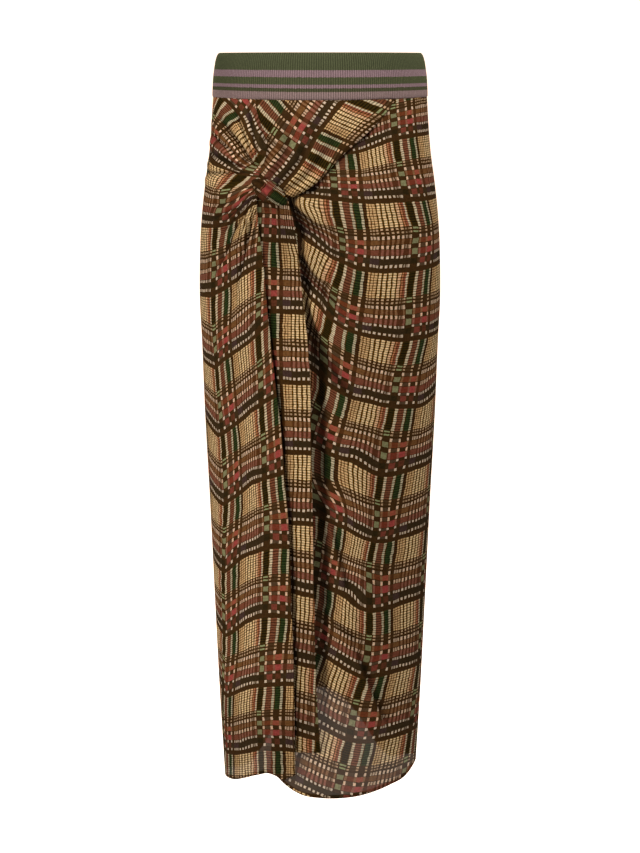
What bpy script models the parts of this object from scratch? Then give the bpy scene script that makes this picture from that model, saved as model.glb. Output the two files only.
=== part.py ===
# Long wrap skirt in checked crepe with a ribbed knit waistband.
#
# The skirt hangs hollow, as it is worn: a tube of cloth under a knitted band, with two front panels
# that are gathered into a knot on one hip, a swath that comes down from the band to the knot, and a
# sash tail that falls from it. Units are metres, with tables in millimetres. Z is up, the front faces
# -Y, and the origin is on the waist axis, at the middle height of the band.

from collections import namedtuple

import bmesh
import bpy
import numpy as np

MM = 0.001

# Driving sizes of the cloth
CLOTH_THICKNESS = 1.2 * MM
SEAM_GAP = 0.3 * MM

# Driving sizes of the waistband
BAND_TOP = 30.0 * MM
BAND_BOTTOM = -28.0 * MM
BAND_FRONT_DIP = 3.0 * MM
BAND_MID = 6.0 * MM
BAND_SHOULDER = 26.0 * MM
BAND_ROLL = 29.0 * MM
RIB_COUNT = 284
RIB_HEIGHT = 0.6 * MM
BAND_OUTER_LIFT = 1.4 * MM
BAND_ROLL_LIFT = 0.6 * MM
BAND_INNER_LIFT = -1.0 * MM

# The waist knot, on the wearer's right hip
KNOT_X = -63.0 * MM
KNOT_Z = -149.0 * MM
KNOT_HALF_LENGTH = 26.0 * MM
KNOT_HALF_WIDTH = 14.5 * MM
KNOT_TILT = np.radians(-35.0)
KNOT_RIM_LIFT = 8.4 * MM
KNOT_BULGE = 7.0 * MM
KNOT_TAPER = 0.45
KNOT_GROOVES = 3
KNOT_GROOVE_DEPTH = 1.5 * MM

# How far each layer stands off the form
TAIL_LIFT = 4.0 * MM
TAIL_TOP_LIFT = 5.4 * MM
LEFT_PANEL_LIFT = 6.2 * MM
SWATH_EDGE_LIFT = 3.2 * MM
SWATH_LIFT = 4.8 * MM
SWATH_BAND_LIFT = 1.9 * MM
SWATH_PLEATS = 4
SWATH_PLEAT_HEIGHT = 1.5 * MM
SWATH_ROLL_SHARE = 0.3
SWATH_HANG_START = 2.0 * MM
SWATH_HANG_END = 26.0 * MM
TAIL_PLAIN_BELOW = -240.0 * MM
TAIL_RAISED_ABOVE = -170.0 * MM
TAIL_GATHERS = 3
TAIL_GATHER_HEIGHT = 0.9 * MM
TAIL_GATHER_END = -330.0 * MM
TAIL_GATHER_FULL = -190.0 * MM

# Where the left panel rises to pass over the tail: its distances left of the tail's edge, and the depths
# below the waist over which it starts to do so
RISE_FOOT = 50.0 * MM
RISE_HEAD = 16.0 * MM
RISE_START_DEPTH = 118.0 * MM
RISE_FULL_DEPTH = 162.0 * MM

# Where folds die out: next to a sewn edge, as a share of the panel, and below the band
SEAM_CALM = 0.1
OPEN_EDGE_CALM = 0.12
OPEN_EDGE_RELIEF = 0.4
LEFT_TOP_CALM = 30.0 * MM
BACK_TOP_CALM = 40.0 * MM
RIGHT_CALM_START = 10.0 * MM
RIGHT_CALM_END = 45.0 * MM
UNDER_TAIL_CALM = 14.0 * MM
UNDER_TAIL_FULL = 4.0 * MM
FOLD_FADE_IN = 0.25
FOLD_FADE_OUT = 0.3
FOLD_END_RELIEF = 0.15
FOLD_STEPS = 41

# The two ways a cell of cloth is halved: along its rising diagonal, or its falling one
UP_SLANT = "FIXED"
DOWN_SLANT = "ALTERNATE"

# How many times an edge's height is worked out again from the place it gives
SETTLE_STEPS = 25

# The form inside the cloth: half width, front depth and back depth of its section at each height
Section = namedtuple("Section", "height half_width front back")
FORM = (
    Section(-1010, 130.0, 89, 93),
    Section(-942, 133.6, 91, 96),
    Section(-855, 138.3, 94, 99),
    Section(-718, 144.3, 98, 103),
    Section(-582, 150.0, 102, 108),
    Section(-450, 156.2, 107, 114),
    Section(-350, 159.6, 110, 121),
    Section(-300, 161.8, 112, 125),
    Section(-252, 161.5, 113, 128),
    Section(-205, 159.6, 113, 128),
    Section(-172, 156.8, 112, 126),
    Section(-140, 153.0, 111, 122),
    Section(-100, 147.4, 109, 115),
    Section(-60, 144.0, 106, 109),
    Section(-28, 142.0, 104, 106),
    Section(6, 139.6, 102, 104),
    Section(26, 135.4, 99, 101),
    Section(34, 131.5, 95, 97),
)

# Heights of edges at a distance across the front or the back, as seen from the front
Edge = namedtuple("Edge", "across height")
RIGHT_PANEL_TOP = (
    Edge(-86, -152), Edge(-60, -140), Edge(-20, -118), Edge(5, -98), Edge(30, -78), Edge(52, -54),
    Edge(68, -36), Edge(82, -20), Edge(96, -8),
)
RIGHT_PANEL_HEM = (
    Edge(-80, -922), Edge(-61, -942), Edge(-48, -955), Edge(-27, -968), Edge(0, -973), Edge(27, -974),
    Edge(48, -973), Edge(68, -970), Edge(96, -963), Edge(118, -956), Edge(132, -944),
)
LEFT_PANEL_HEM = (
    Edge(-132, -966), Edge(-117, -962), Edge(-103, -955), Edge(-82, -945), Edge(-68, -940), Edge(-57, -943),
    Edge(-49, -948), Edge(-41, -943), Edge(-33, -939),
)
BACK_HEM = (
    Edge(-132, -966), Edge(-114, -972), Edge(-97, -969), Edge(-83, -952), Edge(-67, -926), Edge(-47, -899),
    Edge(-22, -877), Edge(0, -870), Edge(22, -877), Edge(47, -899), Edge(67, -926), Edge(83, -950),
    Edge(97, -962), Edge(114, -956), Edge(132, -944),
)

# Distances across the front of edges that run down the skirt
Side = namedtuple("Side", "height across")
LEFT_PANEL_EDGE = (
    Side(-945, -34), Side(-819, -34), Side(-694, -40), Side(-503, -50), Side(-409, -59), Side(-324, -67),
    Side(-275, -70), Side(-225, -74), Side(-190, -77), Side(-150, -78), Side(-125, -75), Side(-90, -70),
    Side(-54, -67), Side(-28, -66),
)
RIGHT_PANEL_EDGE = (
    Side(-960, -68), Side(-900, -66), Side(-700, -64), Side(-500, -68), Side(-300, -80), Side(-200, -86),
    Side(-140, -86),
)
TAIL_RIGHT_EDGE = (
    Side(-910, 1), Side(-833, -4), Side(-666, -8), Side(-502, -11), Side(-342, -16), Side(-289, -22),
    Side(-237, -27), Side(-196, -32), Side(-160, -40),
)
TAIL_LEFT_EDGE = (
    Side(-910, -48), Side(-700, -50), Side(-550, -54), Side(-400, -64), Side(-290, -74), Side(-240, -78),
    Side(-200, -80), Side(-160, -79),
)
TAIL_TOP = -160.0 * MM
TAIL_END = -907.0 * MM

# The swath's two long edges, from the band down to the knot
Stitch = namedtuple("Stitch", "along across height")
SWATH_LEFT_EDGE = (
    Stitch(0.0, -74, -31), Stitch(0.25, -73, -54), Stitch(0.6, -77, -90), Stitch(1.0, -80, -130),
)
SWATH_LOWER_EDGE = (
    Stitch(0.0, 97, -31), Stitch(0.15, 84, -46), Stitch(0.3, 61, -71), Stitch(0.45, 39, -91),
    Stitch(0.6, 22, -108), Stitch(0.75, 2, -131), Stitch(0.87, -17, -146), Stitch(1.0, -44, -160),
)

# Folds: a line through three points, its half width at both ends, and how far it stands out
Fold = namedtuple("Fold", "x0 z0 x1 z1 x2 z2 width0 width1 rise")
RIGHT_PANEL_FOLDS = (
    Fold(-34, -156, 4, -180, 52, -206, 14, 24, 4.5),
    Fold(-36, -172, -10, -208, 30, -246, 13, 18, -8.0),
    Fold(-30, -202, 8, -246, 58, -286, 14, 24, 5.5),
    Fold(-28, -236, 0, -290, 40, -342, 13, 18, -8.0),
    Fold(-22, -272, 14, -322, 62, -372, 14, 24, 5.0),
    Fold(-16, -312, 6, -360, 48, -430, 13, 18, -7.0),
    Fold(16, -575, 37, -655, 58, -722, 9, 12, -3.5),
    Fold(48, -700, 62, -755, 92, -826, 9, 12, -3.0),
    Fold(30, -400, 52, -600, 58, -900, 20, 30, 4.0),
    Fold(-8, -330, 4, -520, 8, -880, 12, 16, -7.0),
    Fold(92, -480, 104, -650, 106, -900, 16, 22, -2.5),
    Fold(144, -190, 100, -206, 58, -204, 10, 16, 2.0),
)
LEFT_PANEL_FOLDS = (
    Fold(-79, -126, -98, -98, -124, -70, 4, 9, -3.0),
    Fold(-76, -116, -86, -84, -98, -50, 5, 10, 2.2),
    Fold(-84, -134, -108, -114, -136, -92, 4, 10, 2.6),
    Fold(-86, -142, -114, -134, -146, -120, 4, 8, -2.6),
    Fold(-86, -148, -118, -150, -150, -148, 4, 8, 2.4),
    Fold(-86, -154, -118, -164, -152, -170, 4, 7, -2.4),
    Fold(-86, -160, -116, -178, -150, -194, 4, 9, 2.2),
    Fold(-84, -166, -108, -192, -136, -222, 3, 8, -2.2),
    Fold(-82, -170, -100, -204, -120, -246, 3, 8, 2.2),
    Fold(-80, -172, -92, -208, -104, -252, 3, 7, -2.0),
    Fold(-79, -176, -86, -214, -92, -262, 3, 7, 2.0),
    Fold(-129, -330, -131, -560, -126, -900, 9, 11, 2.5),
    Fold(-98, -300, -100, -560, -96, -900, 14, 18, -2.5),
)
BACK_FOLDS = (
    Fold(-92, -230, -98, -520, -100, -900, 16, 26, 4.0),
    Fold(-56, -300, -60, -560, -66, -850, 14, 20, -3.5),
    Fold(-24, -210, -28, -500, -34, -820, 16, 24, 3.5),
    Fold(14, -260, 16, -540, 14, -830, 14, 20, -3.5),
    Fold(52, -220, 58, -520, 60, -840, 16, 24, 4.0),
    Fold(92, -320, 98, -600, 98, -880, 14, 20, -3.0),
    Fold(-60, -60, -48, -110, -30, -170, 10, 16, 2.0),
    Fold(48, -60, 40, -115, 26, -176, 10, 16, 2.0),
)

# Colours of the sub-parts
CHECK_BROWN = (0.165, 0.090, 0.036)
CHECK_TAN = (0.220, 0.130, 0.055)
BAND_OLIVE = (0.086, 0.090, 0.042)


def read_table(rows, key, column, at):
    """Smooth curve through one column of a table, in metres, at the given places."""
    rows = sorted(rows, key=lambda row: getattr(row, key))
    scale = 1.0 if key == "along" else MM
    knots = np.array([getattr(row, key) for row in rows]) * scale
    values = np.array([getattr(row, column) for row in rows]) * MM
    slopes = np.gradient(values, knots)
    at = np.clip(at, knots[0], knots[-1])
    first = np.clip(np.searchsorted(knots, at) - 1, 0, len(knots) - 2)
    step = knots[first + 1] - knots[first]
    part = (at - knots[first]) / step
    begin = values[first] * (1 + 2 * part) * (1 - part) ** 2 + slopes[first] * step * part * (1 - part) ** 2
    end = values[first + 1] * part ** 2 * (3 - 2 * part) + slopes[first + 1] * step * part ** 2 * (part - 1)
    return begin + end


def ease(value, low, high):
    """Smooth step from 0 at low to 1 at high."""
    part = np.clip((value - low) / (high - low), 0.0, 1.0)
    return part * part * (3 - 2 * part)


def half_width_at(height):
    return read_table(FORM, "height", "half_width", height)


def angle_at(across, height):
    """Angle round the form of a point seen from the front at this distance from the middle."""
    return np.arcsin(np.clip(across / half_width_at(height), -1.0, 1.0))


def on_form(angle, height, lift):
    """Points that stand off the form by lift. Angle 0 is the middle of the front, pi of the back."""
    half_width = half_width_at(height)
    front = read_table(FORM, "height", "front", height)
    back = read_table(FORM, "height", "back", height)
    depth = np.where(np.cos(angle) >= 0, front, back)
    out_x = np.sin(angle) / half_width
    out_y = -np.cos(angle) / depth
    length = np.hypot(out_x, out_y)
    x = half_width * np.sin(angle) + lift * out_x / length
    y = -depth * np.cos(angle) + lift * out_y / length
    return np.column_stack([x, y, height])


def fold_relief(folds, across, height):
    """Sum of the ridges and troughs of a fold table at each point, in metres."""
    relief = np.zeros_like(across)
    part = np.linspace(0.0, 1.0, FOLD_STEPS)
    for fold in folds:
        middle_x = 2 * fold.x1 - 0.5 * (fold.x0 + fold.x2)
        middle_z = 2 * fold.z1 - 0.5 * (fold.z0 + fold.z2)
        line_x = (1 - part) ** 2 * fold.x0 + 2 * part * (1 - part) * middle_x + part ** 2 * fold.x2
        line_z = (1 - part) ** 2 * fold.z0 + 2 * part * (1 - part) * middle_z + part ** 2 * fold.z2
        gap = np.hypot(across[:, None] - line_x * MM, height[:, None] - line_z * MM)
        nearest = np.argmin(gap, axis=1)
        width = (fold.width0 + (fold.width1 - fold.width0) * part[nearest]) * MM
        fade = ease(part[nearest], 0.0, FOLD_FADE_IN) * ease(1 - part[nearest], 0.0, FOLD_FADE_OUT)
        fade = np.maximum(fade, FOLD_END_RELIEF)
        relief += fold.rise * MM * fade * np.exp(-(gap.min(axis=1) / width) ** 2)
    return relief


def band_bottom(angle):
    """The band's lower edge dips a little at the middle of the front."""
    return BAND_BOTTOM - BAND_FRONT_DIP * np.clip(np.cos(angle), 0.0, None) ** 2


def stations(fine_steps, fine_share, coarse_steps):
    """Places from 0 to 1: close together over the first share, wider apart after it."""
    fine = np.linspace(0.0, fine_share, fine_steps + 1)
    coarse = np.linspace(fine_share, 1.0, coarse_steps + 1)
    return np.concatenate([fine, coarse[1:]])


def material(name, colour, roughness):
    made = bpy.data.materials.new(name)
    made.use_nodes = True
    shader = made.node_tree.nodes["Principled BSDF"]
    shader.inputs["Base Color"].default_value = (*colour, 1.0)
    shader.inputs["Roughness"].default_value = roughness
    made.diffuse_color = (*colour, 1.0)
    return made


def finish(mesh, name, collection, finish_material):
    mesh.shade_smooth()
    mesh.set_sharp_from_angle(angle=np.radians(50.0))
    mesh.materials.append(finish_material)
    piece = bpy.data.objects.new(name, mesh)
    collection.objects.link(piece)
    return piece


def cloth_sheet(name, across_places, down_places, place, slant, collection, finish_material):
    """A grid of cloth, put in place by a function of its two coordinates, with a wall's thickness.

    slant is the way its cells are halved, so that the halves lie along the folds.
    """
    columns = len(across_places) - 1
    rows = len(down_places) - 1
    work = bmesh.new()
    bmesh.ops.create_grid(work, x_segments=columns, y_segments=rows, size=1.0)
    flat = np.array([vert.co[:2] for vert in work.verts])
    column = np.rint((flat[:, 0] + 1) / 2 * columns).astype(int)
    row = np.rint((1 - flat[:, 1]) / 2 * rows).astype(int)
    points = place(across_places[column], down_places[row])
    for vert, point in zip(work.verts, points):
        vert.co = point
    bmesh.ops.triangulate(work, faces=work.faces, quad_method=slant)
    mesh = bpy.data.meshes.new(name)
    work.to_mesh(mesh)
    work.free()
    piece = finish(mesh, name, collection, finish_material)
    wall = piece.modifiers.new("wall", "SOLIDIFY")
    wall.thickness = CLOTH_THICKNESS
    wall.offset = 1.0
    wall.use_rim = True
    return piece


def side_seam_angle(height):
    """Angle of the front's edge at a side seam, half a seam gap short of the side."""
    front = read_table(FORM, "height", "front", height)
    return np.pi / 2 - 0.5 * SEAM_GAP / front


def left_panel_lift(across, height):
    """The left panel rises from the side seam to pass over the tail's edge."""
    tail_edge = read_table(TAIL_LEFT_EDGE, "height", "across", height)
    reach = ease(across, tail_edge - RISE_FOOT, tail_edge - RISE_HEAD)
    below_knot = ease(-height, RISE_START_DEPTH, RISE_FULL_DEPTH)
    return LEFT_PANEL_LIFT * reach * below_knot


def place_left_panel(across_place, down_place):
    """Across is 0 at the edge over the tail and 1 at the side seam. Down runs from band to hem."""
    height = np.full_like(down_place, BAND_BOTTOM - SEAM_GAP)
    for _ in range(SETTLE_STEPS):
        edge = read_table(LEFT_PANEL_EDGE, "height", "across", height)
        edge_angle = angle_at(edge, height)
        angle = -side_seam_angle(height) * across_place + edge_angle * (1 - across_place)
        across = half_width_at(height) * np.sin(angle)
        top = band_bottom(angle) - SEAM_GAP
        hem = read_table(LEFT_PANEL_HEM, "across", "height", across)
        height = top + (hem - top) * down_place
    open_edge = OPEN_EDGE_RELIEF + (1 - OPEN_EDGE_RELIEF) * ease(across_place, 0.0, OPEN_EDGE_CALM)
    calm = open_edge * ease(1 - across_place, 0.0, SEAM_CALM) * ease(top - height, 0.0, LEFT_TOP_CALM)
    relief = fold_relief(LEFT_PANEL_FOLDS, across, height) * calm
    return on_form(angle, height, left_panel_lift(across, height) + relief)


def place_right_panel(across_place, down_place):
    """Across runs from the hidden edge under the tail (0) to the side seam (1)."""
    height = np.full_like(down_place, BAND_BOTTOM)
    for _ in range(SETTLE_STEPS):
        edge = read_table(RIGHT_PANEL_EDGE, "height", "across", height)
        edge_angle = angle_at(edge, height)
        angle = side_seam_angle(height) * across_place + edge_angle * (1 - across_place)
        across = half_width_at(height) * np.sin(angle)
        under_swath = read_table(RIGHT_PANEL_TOP, "across", "height", across)
        top = np.minimum(under_swath, band_bottom(angle) - SEAM_GAP)
        hem = read_table(RIGHT_PANEL_HEM, "across", "height", across)
        wanted = top + (hem - top) * down_place
        height = (height + wanted) / 2
    tail_edge = read_table(TAIL_RIGHT_EDGE, "height", "across", height)
    shows = ease(across, tail_edge - UNDER_TAIL_CALM, tail_edge + UNDER_TAIL_FULL)
    below_top = ease(top - height, RIGHT_CALM_START, RIGHT_CALM_END)
    calm = shows * ease(1 - across_place, 0.0, SEAM_CALM) * below_top
    relief = fold_relief(RIGHT_PANEL_FOLDS, across, height) * calm
    return on_form(angle, height, relief)


def place_back_panel(across_place, down_place):
    """Across runs round the back, from the side seam at +X (0) to the one at -X (1)."""
    height = np.full_like(down_place, BAND_BOTTOM)
    for _ in range(SETTLE_STEPS):
        back = read_table(FORM, "height", "back", height)
        start = np.pi / 2 + 0.5 * SEAM_GAP / back
        angle = start + (2 * np.pi - 2 * start) * across_place
        across = half_width_at(height) * np.sin(angle)
        top = band_bottom(angle) - SEAM_GAP
        hem = read_table(BACK_HEM, "across", "height", across)
        height = top + (hem - top) * down_place
    edge = np.minimum(across_place, 1 - across_place)
    calm = ease(edge, 0.0, SEAM_CALM) * ease(top - height, 0.0, BACK_TOP_CALM)
    relief = fold_relief(BACK_FOLDS, across, height) * calm
    return on_form(angle, height, relief)


def place_tail(across_place, down_place):
    """Across runs from the edge under the left panel (0) to the free edge (1)."""
    height = TAIL_TOP + (TAIL_END - TAIL_TOP) * down_place
    left = read_table(TAIL_LEFT_EDGE, "height", "across", height)
    right = read_table(TAIL_RIGHT_EDGE, "height", "across", height)
    across = left + (right - left) * across_place
    lift = TAIL_LIFT + (TAIL_TOP_LIFT - TAIL_LIFT) * ease(height, TAIL_PLAIN_BELOW, TAIL_RAISED_ABOVE)
    waves = np.cos(TAIL_GATHERS * np.pi * across_place) * ease(height, TAIL_GATHER_END, TAIL_GATHER_FULL)
    return on_form(angle_at(across, height), height, lift - TAIL_GATHER_HEIGHT * waves)


def place_swath(across_place, down_place):
    """Across runs from the edge over the left panel (0) to the lower edge (1), down to the knot."""
    left_x = read_table(SWATH_LEFT_EDGE, "along", "across", down_place)
    left_z = read_table(SWATH_LEFT_EDGE, "along", "height", down_place)
    lower_x = read_table(SWATH_LOWER_EDGE, "along", "across", down_place)
    lower_z = read_table(SWATH_LOWER_EDGE, "along", "height", down_place)
    across = left_x + (lower_x - left_x) * across_place
    height = left_z + (lower_z - left_z) * across_place
    angle = angle_at(across, height)
    below_band = band_bottom(angle) - SEAM_GAP
    height = np.minimum(height, below_band)
    height = np.where(down_place == 0.0, below_band, height)
    edge_roll = ease(1 - across_place, 0.0, SWATH_ROLL_SHARE)
    lift = SWATH_EDGE_LIFT + (SWATH_LIFT - SWATH_EDGE_LIFT) * edge_roll
    hang = ease(BAND_BOTTOM - height, SWATH_HANG_START, SWATH_HANG_END)
    lift = SWATH_BAND_LIFT + (lift - SWATH_BAND_LIFT) * hang
    pleats = 0.5 - 0.5 * np.cos(2 * np.pi * SWATH_PLEATS * across_place)
    relief = SWATH_PLEAT_HEIGHT * pleats * ease(down_place, 0.1, 0.9)
    return on_form(angle, height, lift + relief)


def place_knot(across_place, down_place):
    """A bulging loop of cloth, narrower at its ends, over the place where all the gathers meet."""
    u = 2 * across_place - 1
    v = 1 - 2 * down_place
    disc_u = u * np.sqrt(1 - v * v / 2)
    disc_v = v * np.sqrt(1 - u * u / 2)
    along = disc_u * KNOT_HALF_LENGTH
    side = disc_v * KNOT_HALF_WIDTH * (1 - KNOT_TAPER * disc_u ** 2)
    across = KNOT_X + along * np.cos(KNOT_TILT) - side * np.sin(KNOT_TILT)
    height = KNOT_Z + along * np.sin(KNOT_TILT) + side * np.cos(KNOT_TILT)
    radius = np.hypot(disc_u, disc_v)
    dome = np.sqrt(np.clip(1 - radius ** 2, 0.0, 1.0))
    groove = KNOT_GROOVE_DEPTH * np.cos(KNOT_GROOVES * np.pi * disc_v) * dome
    return on_form(angle_at(across, height), height, KNOT_RIM_LIFT + KNOT_BULGE * dome + groove)


def band_loop(count, lift, height):
    """A loop of points round the form, at one height or along the band's lower edge."""
    angle = np.arange(count) * 2 * np.pi / count
    level = band_bottom(angle) if height is None else np.full(count, height)
    return on_form(angle, level, np.broadcast_to(lift, (count,)))


def make_waistband(collection, finish_material):
    """Knitted tube: ribs raised on its outside, a rolled top edge and a plain inside."""
    rib_lift = BAND_OUTER_LIFT + RIB_HEIGHT * (np.arange(2 * RIB_COUNT) % 2)
    plain = RIB_COUNT // 2
    ribbed_loops = [band_loop(2 * RIB_COUNT, rib_lift, height) for height in (None, BAND_MID, BAND_SHOULDER)]
    plain_loops = [
        band_loop(plain, BAND_ROLL_LIFT, BAND_ROLL),
        band_loop(plain, BAND_INNER_LIFT, BAND_TOP),
        band_loop(plain, BAND_INNER_LIFT, 0.5 * BAND_SHOULDER),
        band_loop(plain, BAND_INNER_LIFT, None),
    ]
    work = bmesh.new()
    loops = [[work.verts.new(point) for point in loop] for loop in ribbed_loops + plain_loops]
    for lower, upper in zip(loops[:2], loops[1:3]):
        join_equal(work, lower, upper)
    join_ribs(work, loops[2], loops[3], upward=True)
    for lower, upper in zip(loops[3:6], loops[4:7]):
        join_equal(work, lower, upper)
    join_ribs(work, loops[0], loops[6], upward=False)
    bmesh.ops.recalc_face_normals(work, faces=work.faces)
    mesh = bpy.data.meshes.new("waistband")
    work.to_mesh(mesh)
    work.free()
    return finish(mesh, "waistband", collection, finish_material)


def join_equal(work, lower, upper):
    """Quads between two loops with the same number of points."""
    count = len(lower)
    for i in range(count):
        after = (i + 1) % count
        work.faces.new((lower[i], lower[after], upper[after], upper[i]))


def join_ribs(work, ribbed, plain, upward):
    """Faces between a ribbed loop and a plain one: each plain edge takes its share of ribs."""
    share = len(ribbed) // len(plain)
    for i in range(len(plain)):
        after = (i + 1) % len(plain)
        run = [ribbed[(i * share + k) % len(ribbed)] for k in range(share + 1)]
        ring = run + [plain[after], plain[i]]
        work.faces.new(ring if upward else ring[::-1])


def main():
    for old in list(bpy.data.objects):
        bpy.data.objects.remove(old)
    collection = bpy.data.collections.new("wrap_skirt")
    bpy.context.scene.collection.children.link(collection)
    check = material("check_crepe", CHECK_BROWN, 0.8)
    check_front = material("check_crepe_front", CHECK_TAN, 0.8)
    rib_knit = material("rib_knit", BAND_OLIVE, 0.9)

    make_waistband(collection, rib_knit)
    cloth_sheet("back_panel", np.linspace(0, 1, 23), np.linspace(0, 1, 17), place_back_panel,
                UP_SLANT, collection, check)
    cloth_sheet("front_right_panel", stations(18, 0.52, 7), stations(38, 0.42, 11), place_right_panel,
                DOWN_SLANT, collection, check)
    cloth_sheet("front_left_panel", stations(7, 0.28, 9)[::-1], stations(24, 0.25, 16), place_left_panel,
                UP_SLANT, collection, check_front)
    cloth_sheet("wrap_swath", np.linspace(0, 1, 17), np.linspace(0, 1, 13), place_swath,
                UP_SLANT, collection, check_front)
    cloth_sheet("sash_tail", np.linspace(0, 1, 7), stations(8, 0.2, 14), place_tail,
                UP_SLANT, collection, check)
    cloth_sheet("knot", np.linspace(0, 1, 11), np.linspace(0, 1, 11), place_knot,
                UP_SLANT, collection, check_front)


main()
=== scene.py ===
# %% [markdown]
# # A midi wrap skirt in checked crepe
#
# The real object is a long skirt, hanging hollow as it is worn. A ribbed knit band holds it at the waist.
# Two front panels are gathered into a knot on one hip, a pleated swath comes down from the band to the
# knot, and a sash tail falls from it to near the hem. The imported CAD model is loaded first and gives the
# place of every piece. The script then lays a fine sheet of cloth over each plain wall of the model.

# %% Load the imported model
from collections import namedtuple

import bpy
import numpy as np
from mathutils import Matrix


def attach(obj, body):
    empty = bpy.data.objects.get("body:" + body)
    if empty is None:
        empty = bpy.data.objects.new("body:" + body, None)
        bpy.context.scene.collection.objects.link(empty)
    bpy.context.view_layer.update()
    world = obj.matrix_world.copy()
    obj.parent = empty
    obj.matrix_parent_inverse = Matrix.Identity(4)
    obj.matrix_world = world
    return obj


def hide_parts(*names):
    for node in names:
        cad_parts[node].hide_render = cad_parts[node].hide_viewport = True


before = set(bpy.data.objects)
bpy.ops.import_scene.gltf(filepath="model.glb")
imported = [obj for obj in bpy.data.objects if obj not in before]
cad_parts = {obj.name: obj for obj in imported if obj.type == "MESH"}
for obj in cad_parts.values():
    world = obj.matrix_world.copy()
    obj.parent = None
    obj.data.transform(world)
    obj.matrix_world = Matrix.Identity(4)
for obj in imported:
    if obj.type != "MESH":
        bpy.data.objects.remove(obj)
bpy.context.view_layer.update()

print("nodes:", sorted(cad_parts))

# %% [markdown]
# ## Camera and light
#
# The photograph looks slightly down on the skirt with a long lens, so the camera stands three metres away,
# at the height of the band. Lens and tilt were found from the curve of the band and of the hem. The
# studio is white all round, with a pale floor well below the hem, and three large soft lamps give the
# folds their shade; the cloth's colour adds painted shade in the folds as well. The white is a little warm
# where it shows through thin cloth; seen directly it is plain white.

# %% Camera
CAMERA_PLACE = (0.0, -3.0, 0.0073)
CAMERA_TILT_DOWN = np.radians(9.12)
CAMERA_LENS = 93.7

scene = bpy.context.scene
lens = bpy.data.cameras.new("photo_camera")
lens.lens = CAMERA_LENS
lens.sensor_width = 36.0
lens.clip_end = 50.0
camera = bpy.data.objects.new("photo_camera", lens)
camera.location = CAMERA_PLACE
camera.rotation_euler = (np.pi / 2 - CAMERA_TILT_DOWN, 0.0, 0.0)
scene.collection.objects.link(camera)
scene.camera = camera
scene.view_settings.view_transform = "Standard"
print("camera", tuple(camera.location), "lens", lens.lens)

# %% White surroundings, floor and lamps
FLOOR_HEIGHT = -1.38
WORLD_SEEN = 1.04
WORLD_LIGHT = 0.21
WARM_WHITE = (1.55, 1.22, 1.0, 1.0)  # clips to plain white where it is seen directly

world = bpy.data.worlds.new("white_studio")
world.use_nodes = True
room = world.node_tree.nodes["Background"]
rays = world.node_tree.nodes.new("ShaderNodeLightPath")
tint = world.node_tree.nodes.new("ShaderNodeMix")
tint.data_type = "RGBA"
tint.inputs[6].default_value = (1.0, 1.0, 1.0, 1.0)
tint.inputs[7].default_value = WARM_WHITE
world.node_tree.links.new(rays.outputs["Is Camera Ray"], tint.inputs[0])
world.node_tree.links.new(tint.outputs[2], room.inputs["Color"])
level = world.node_tree.nodes.new("ShaderNodeMapRange")
level.inputs["To Min"].default_value = WORLD_LIGHT
level.inputs["To Max"].default_value = WORLD_SEEN
world.node_tree.links.new(rays.outputs["Is Camera Ray"], level.inputs["Value"])
world.node_tree.links.new(level.outputs[0], room.inputs["Strength"])
scene.world = world


def soft_lamp(name, place, aim, size, power, colour):
    """A large square lamp at place that shines towards aim."""
    data = bpy.data.lights.new(name, "AREA")
    data.shape = "SQUARE"
    data.size = size
    data.energy = power
    data.color = colour
    lamp = bpy.data.objects.new(name, data)
    lamp.location = place
    turn = np.array(aim) - np.array(place)
    flat = np.hypot(turn[0], turn[1])
    lamp.rotation_euler = (np.arctan2(flat, -turn[2]), 0.0, np.arctan2(turn[1], turn[0]) - np.pi / 2)
    scene.collection.objects.link(lamp)


soft_lamp("key_lamp", (-2.1, -1.4, -0.1), (0.0, 0.0, -0.5), 0.8, 46.0, (1.0, 0.98, 0.95))
soft_lamp("top_lamp", (0.6, -0.95, 1.0), (0.0, 0.0, -0.2), 0.5, 27.0, (1.0, 0.99, 0.97))
soft_lamp("rear_lamp", (0.6, 2.8, 1.4), (0.0, 0.0, -0.4), 1.6, 30.0, (1.0, 0.99, 0.97))

bpy.ops.object.select_all(action="DESELECT")
bpy.ops.mesh.primitive_plane_add(size=30.0, location=(0.0, 0.0, FLOOR_HEIGHT))
floor = bpy.context.object
floor.name = "studio_floor"
floor_paint = bpy.data.materials.new("floor_paint")
floor_paint.use_nodes = True
floor_shader = floor_paint.node_tree.nodes["Principled BSDF"]
floor_shader.inputs["Base Color"].default_value = (0.93, 0.93, 0.93, 1.0)
floor_shader.inputs["Roughness"].default_value = 0.9
floor_shader.inputs["Emission Color"].default_value = WARM_WHITE
floor_rays = floor_paint.node_tree.nodes.new("ShaderNodeLightPath")
floor_paint.node_tree.links.new(floor_rays.outputs["Is Camera Ray"], floor_shader.inputs["Emission Strength"])
floor.data.materials.append(floor_paint)
print("floor at", FLOOR_HEIGHT)

# %% [markdown]
# ## The form inside the cloth
#
# Cloth takes its shape from what it hangs on. These are the same named sizes and tables that the CAD
# model is made from: the form's section at each height, and the edges of each piece as distances across
# the front. One helper reads a smooth curve through a table, and another turns an angle, a height and a
# lift off the form into a point.

# %% Sizes, tables and helpers of the form
MM = 0.001
SEAM_GAP = 0.3 * MM
BAND_TOP = 30.0 * MM
BAND_BOTTOM = -28.0 * MM
BAND_FRONT_DIP = 3.0 * MM
SETTLE_STEPS = 25

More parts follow.
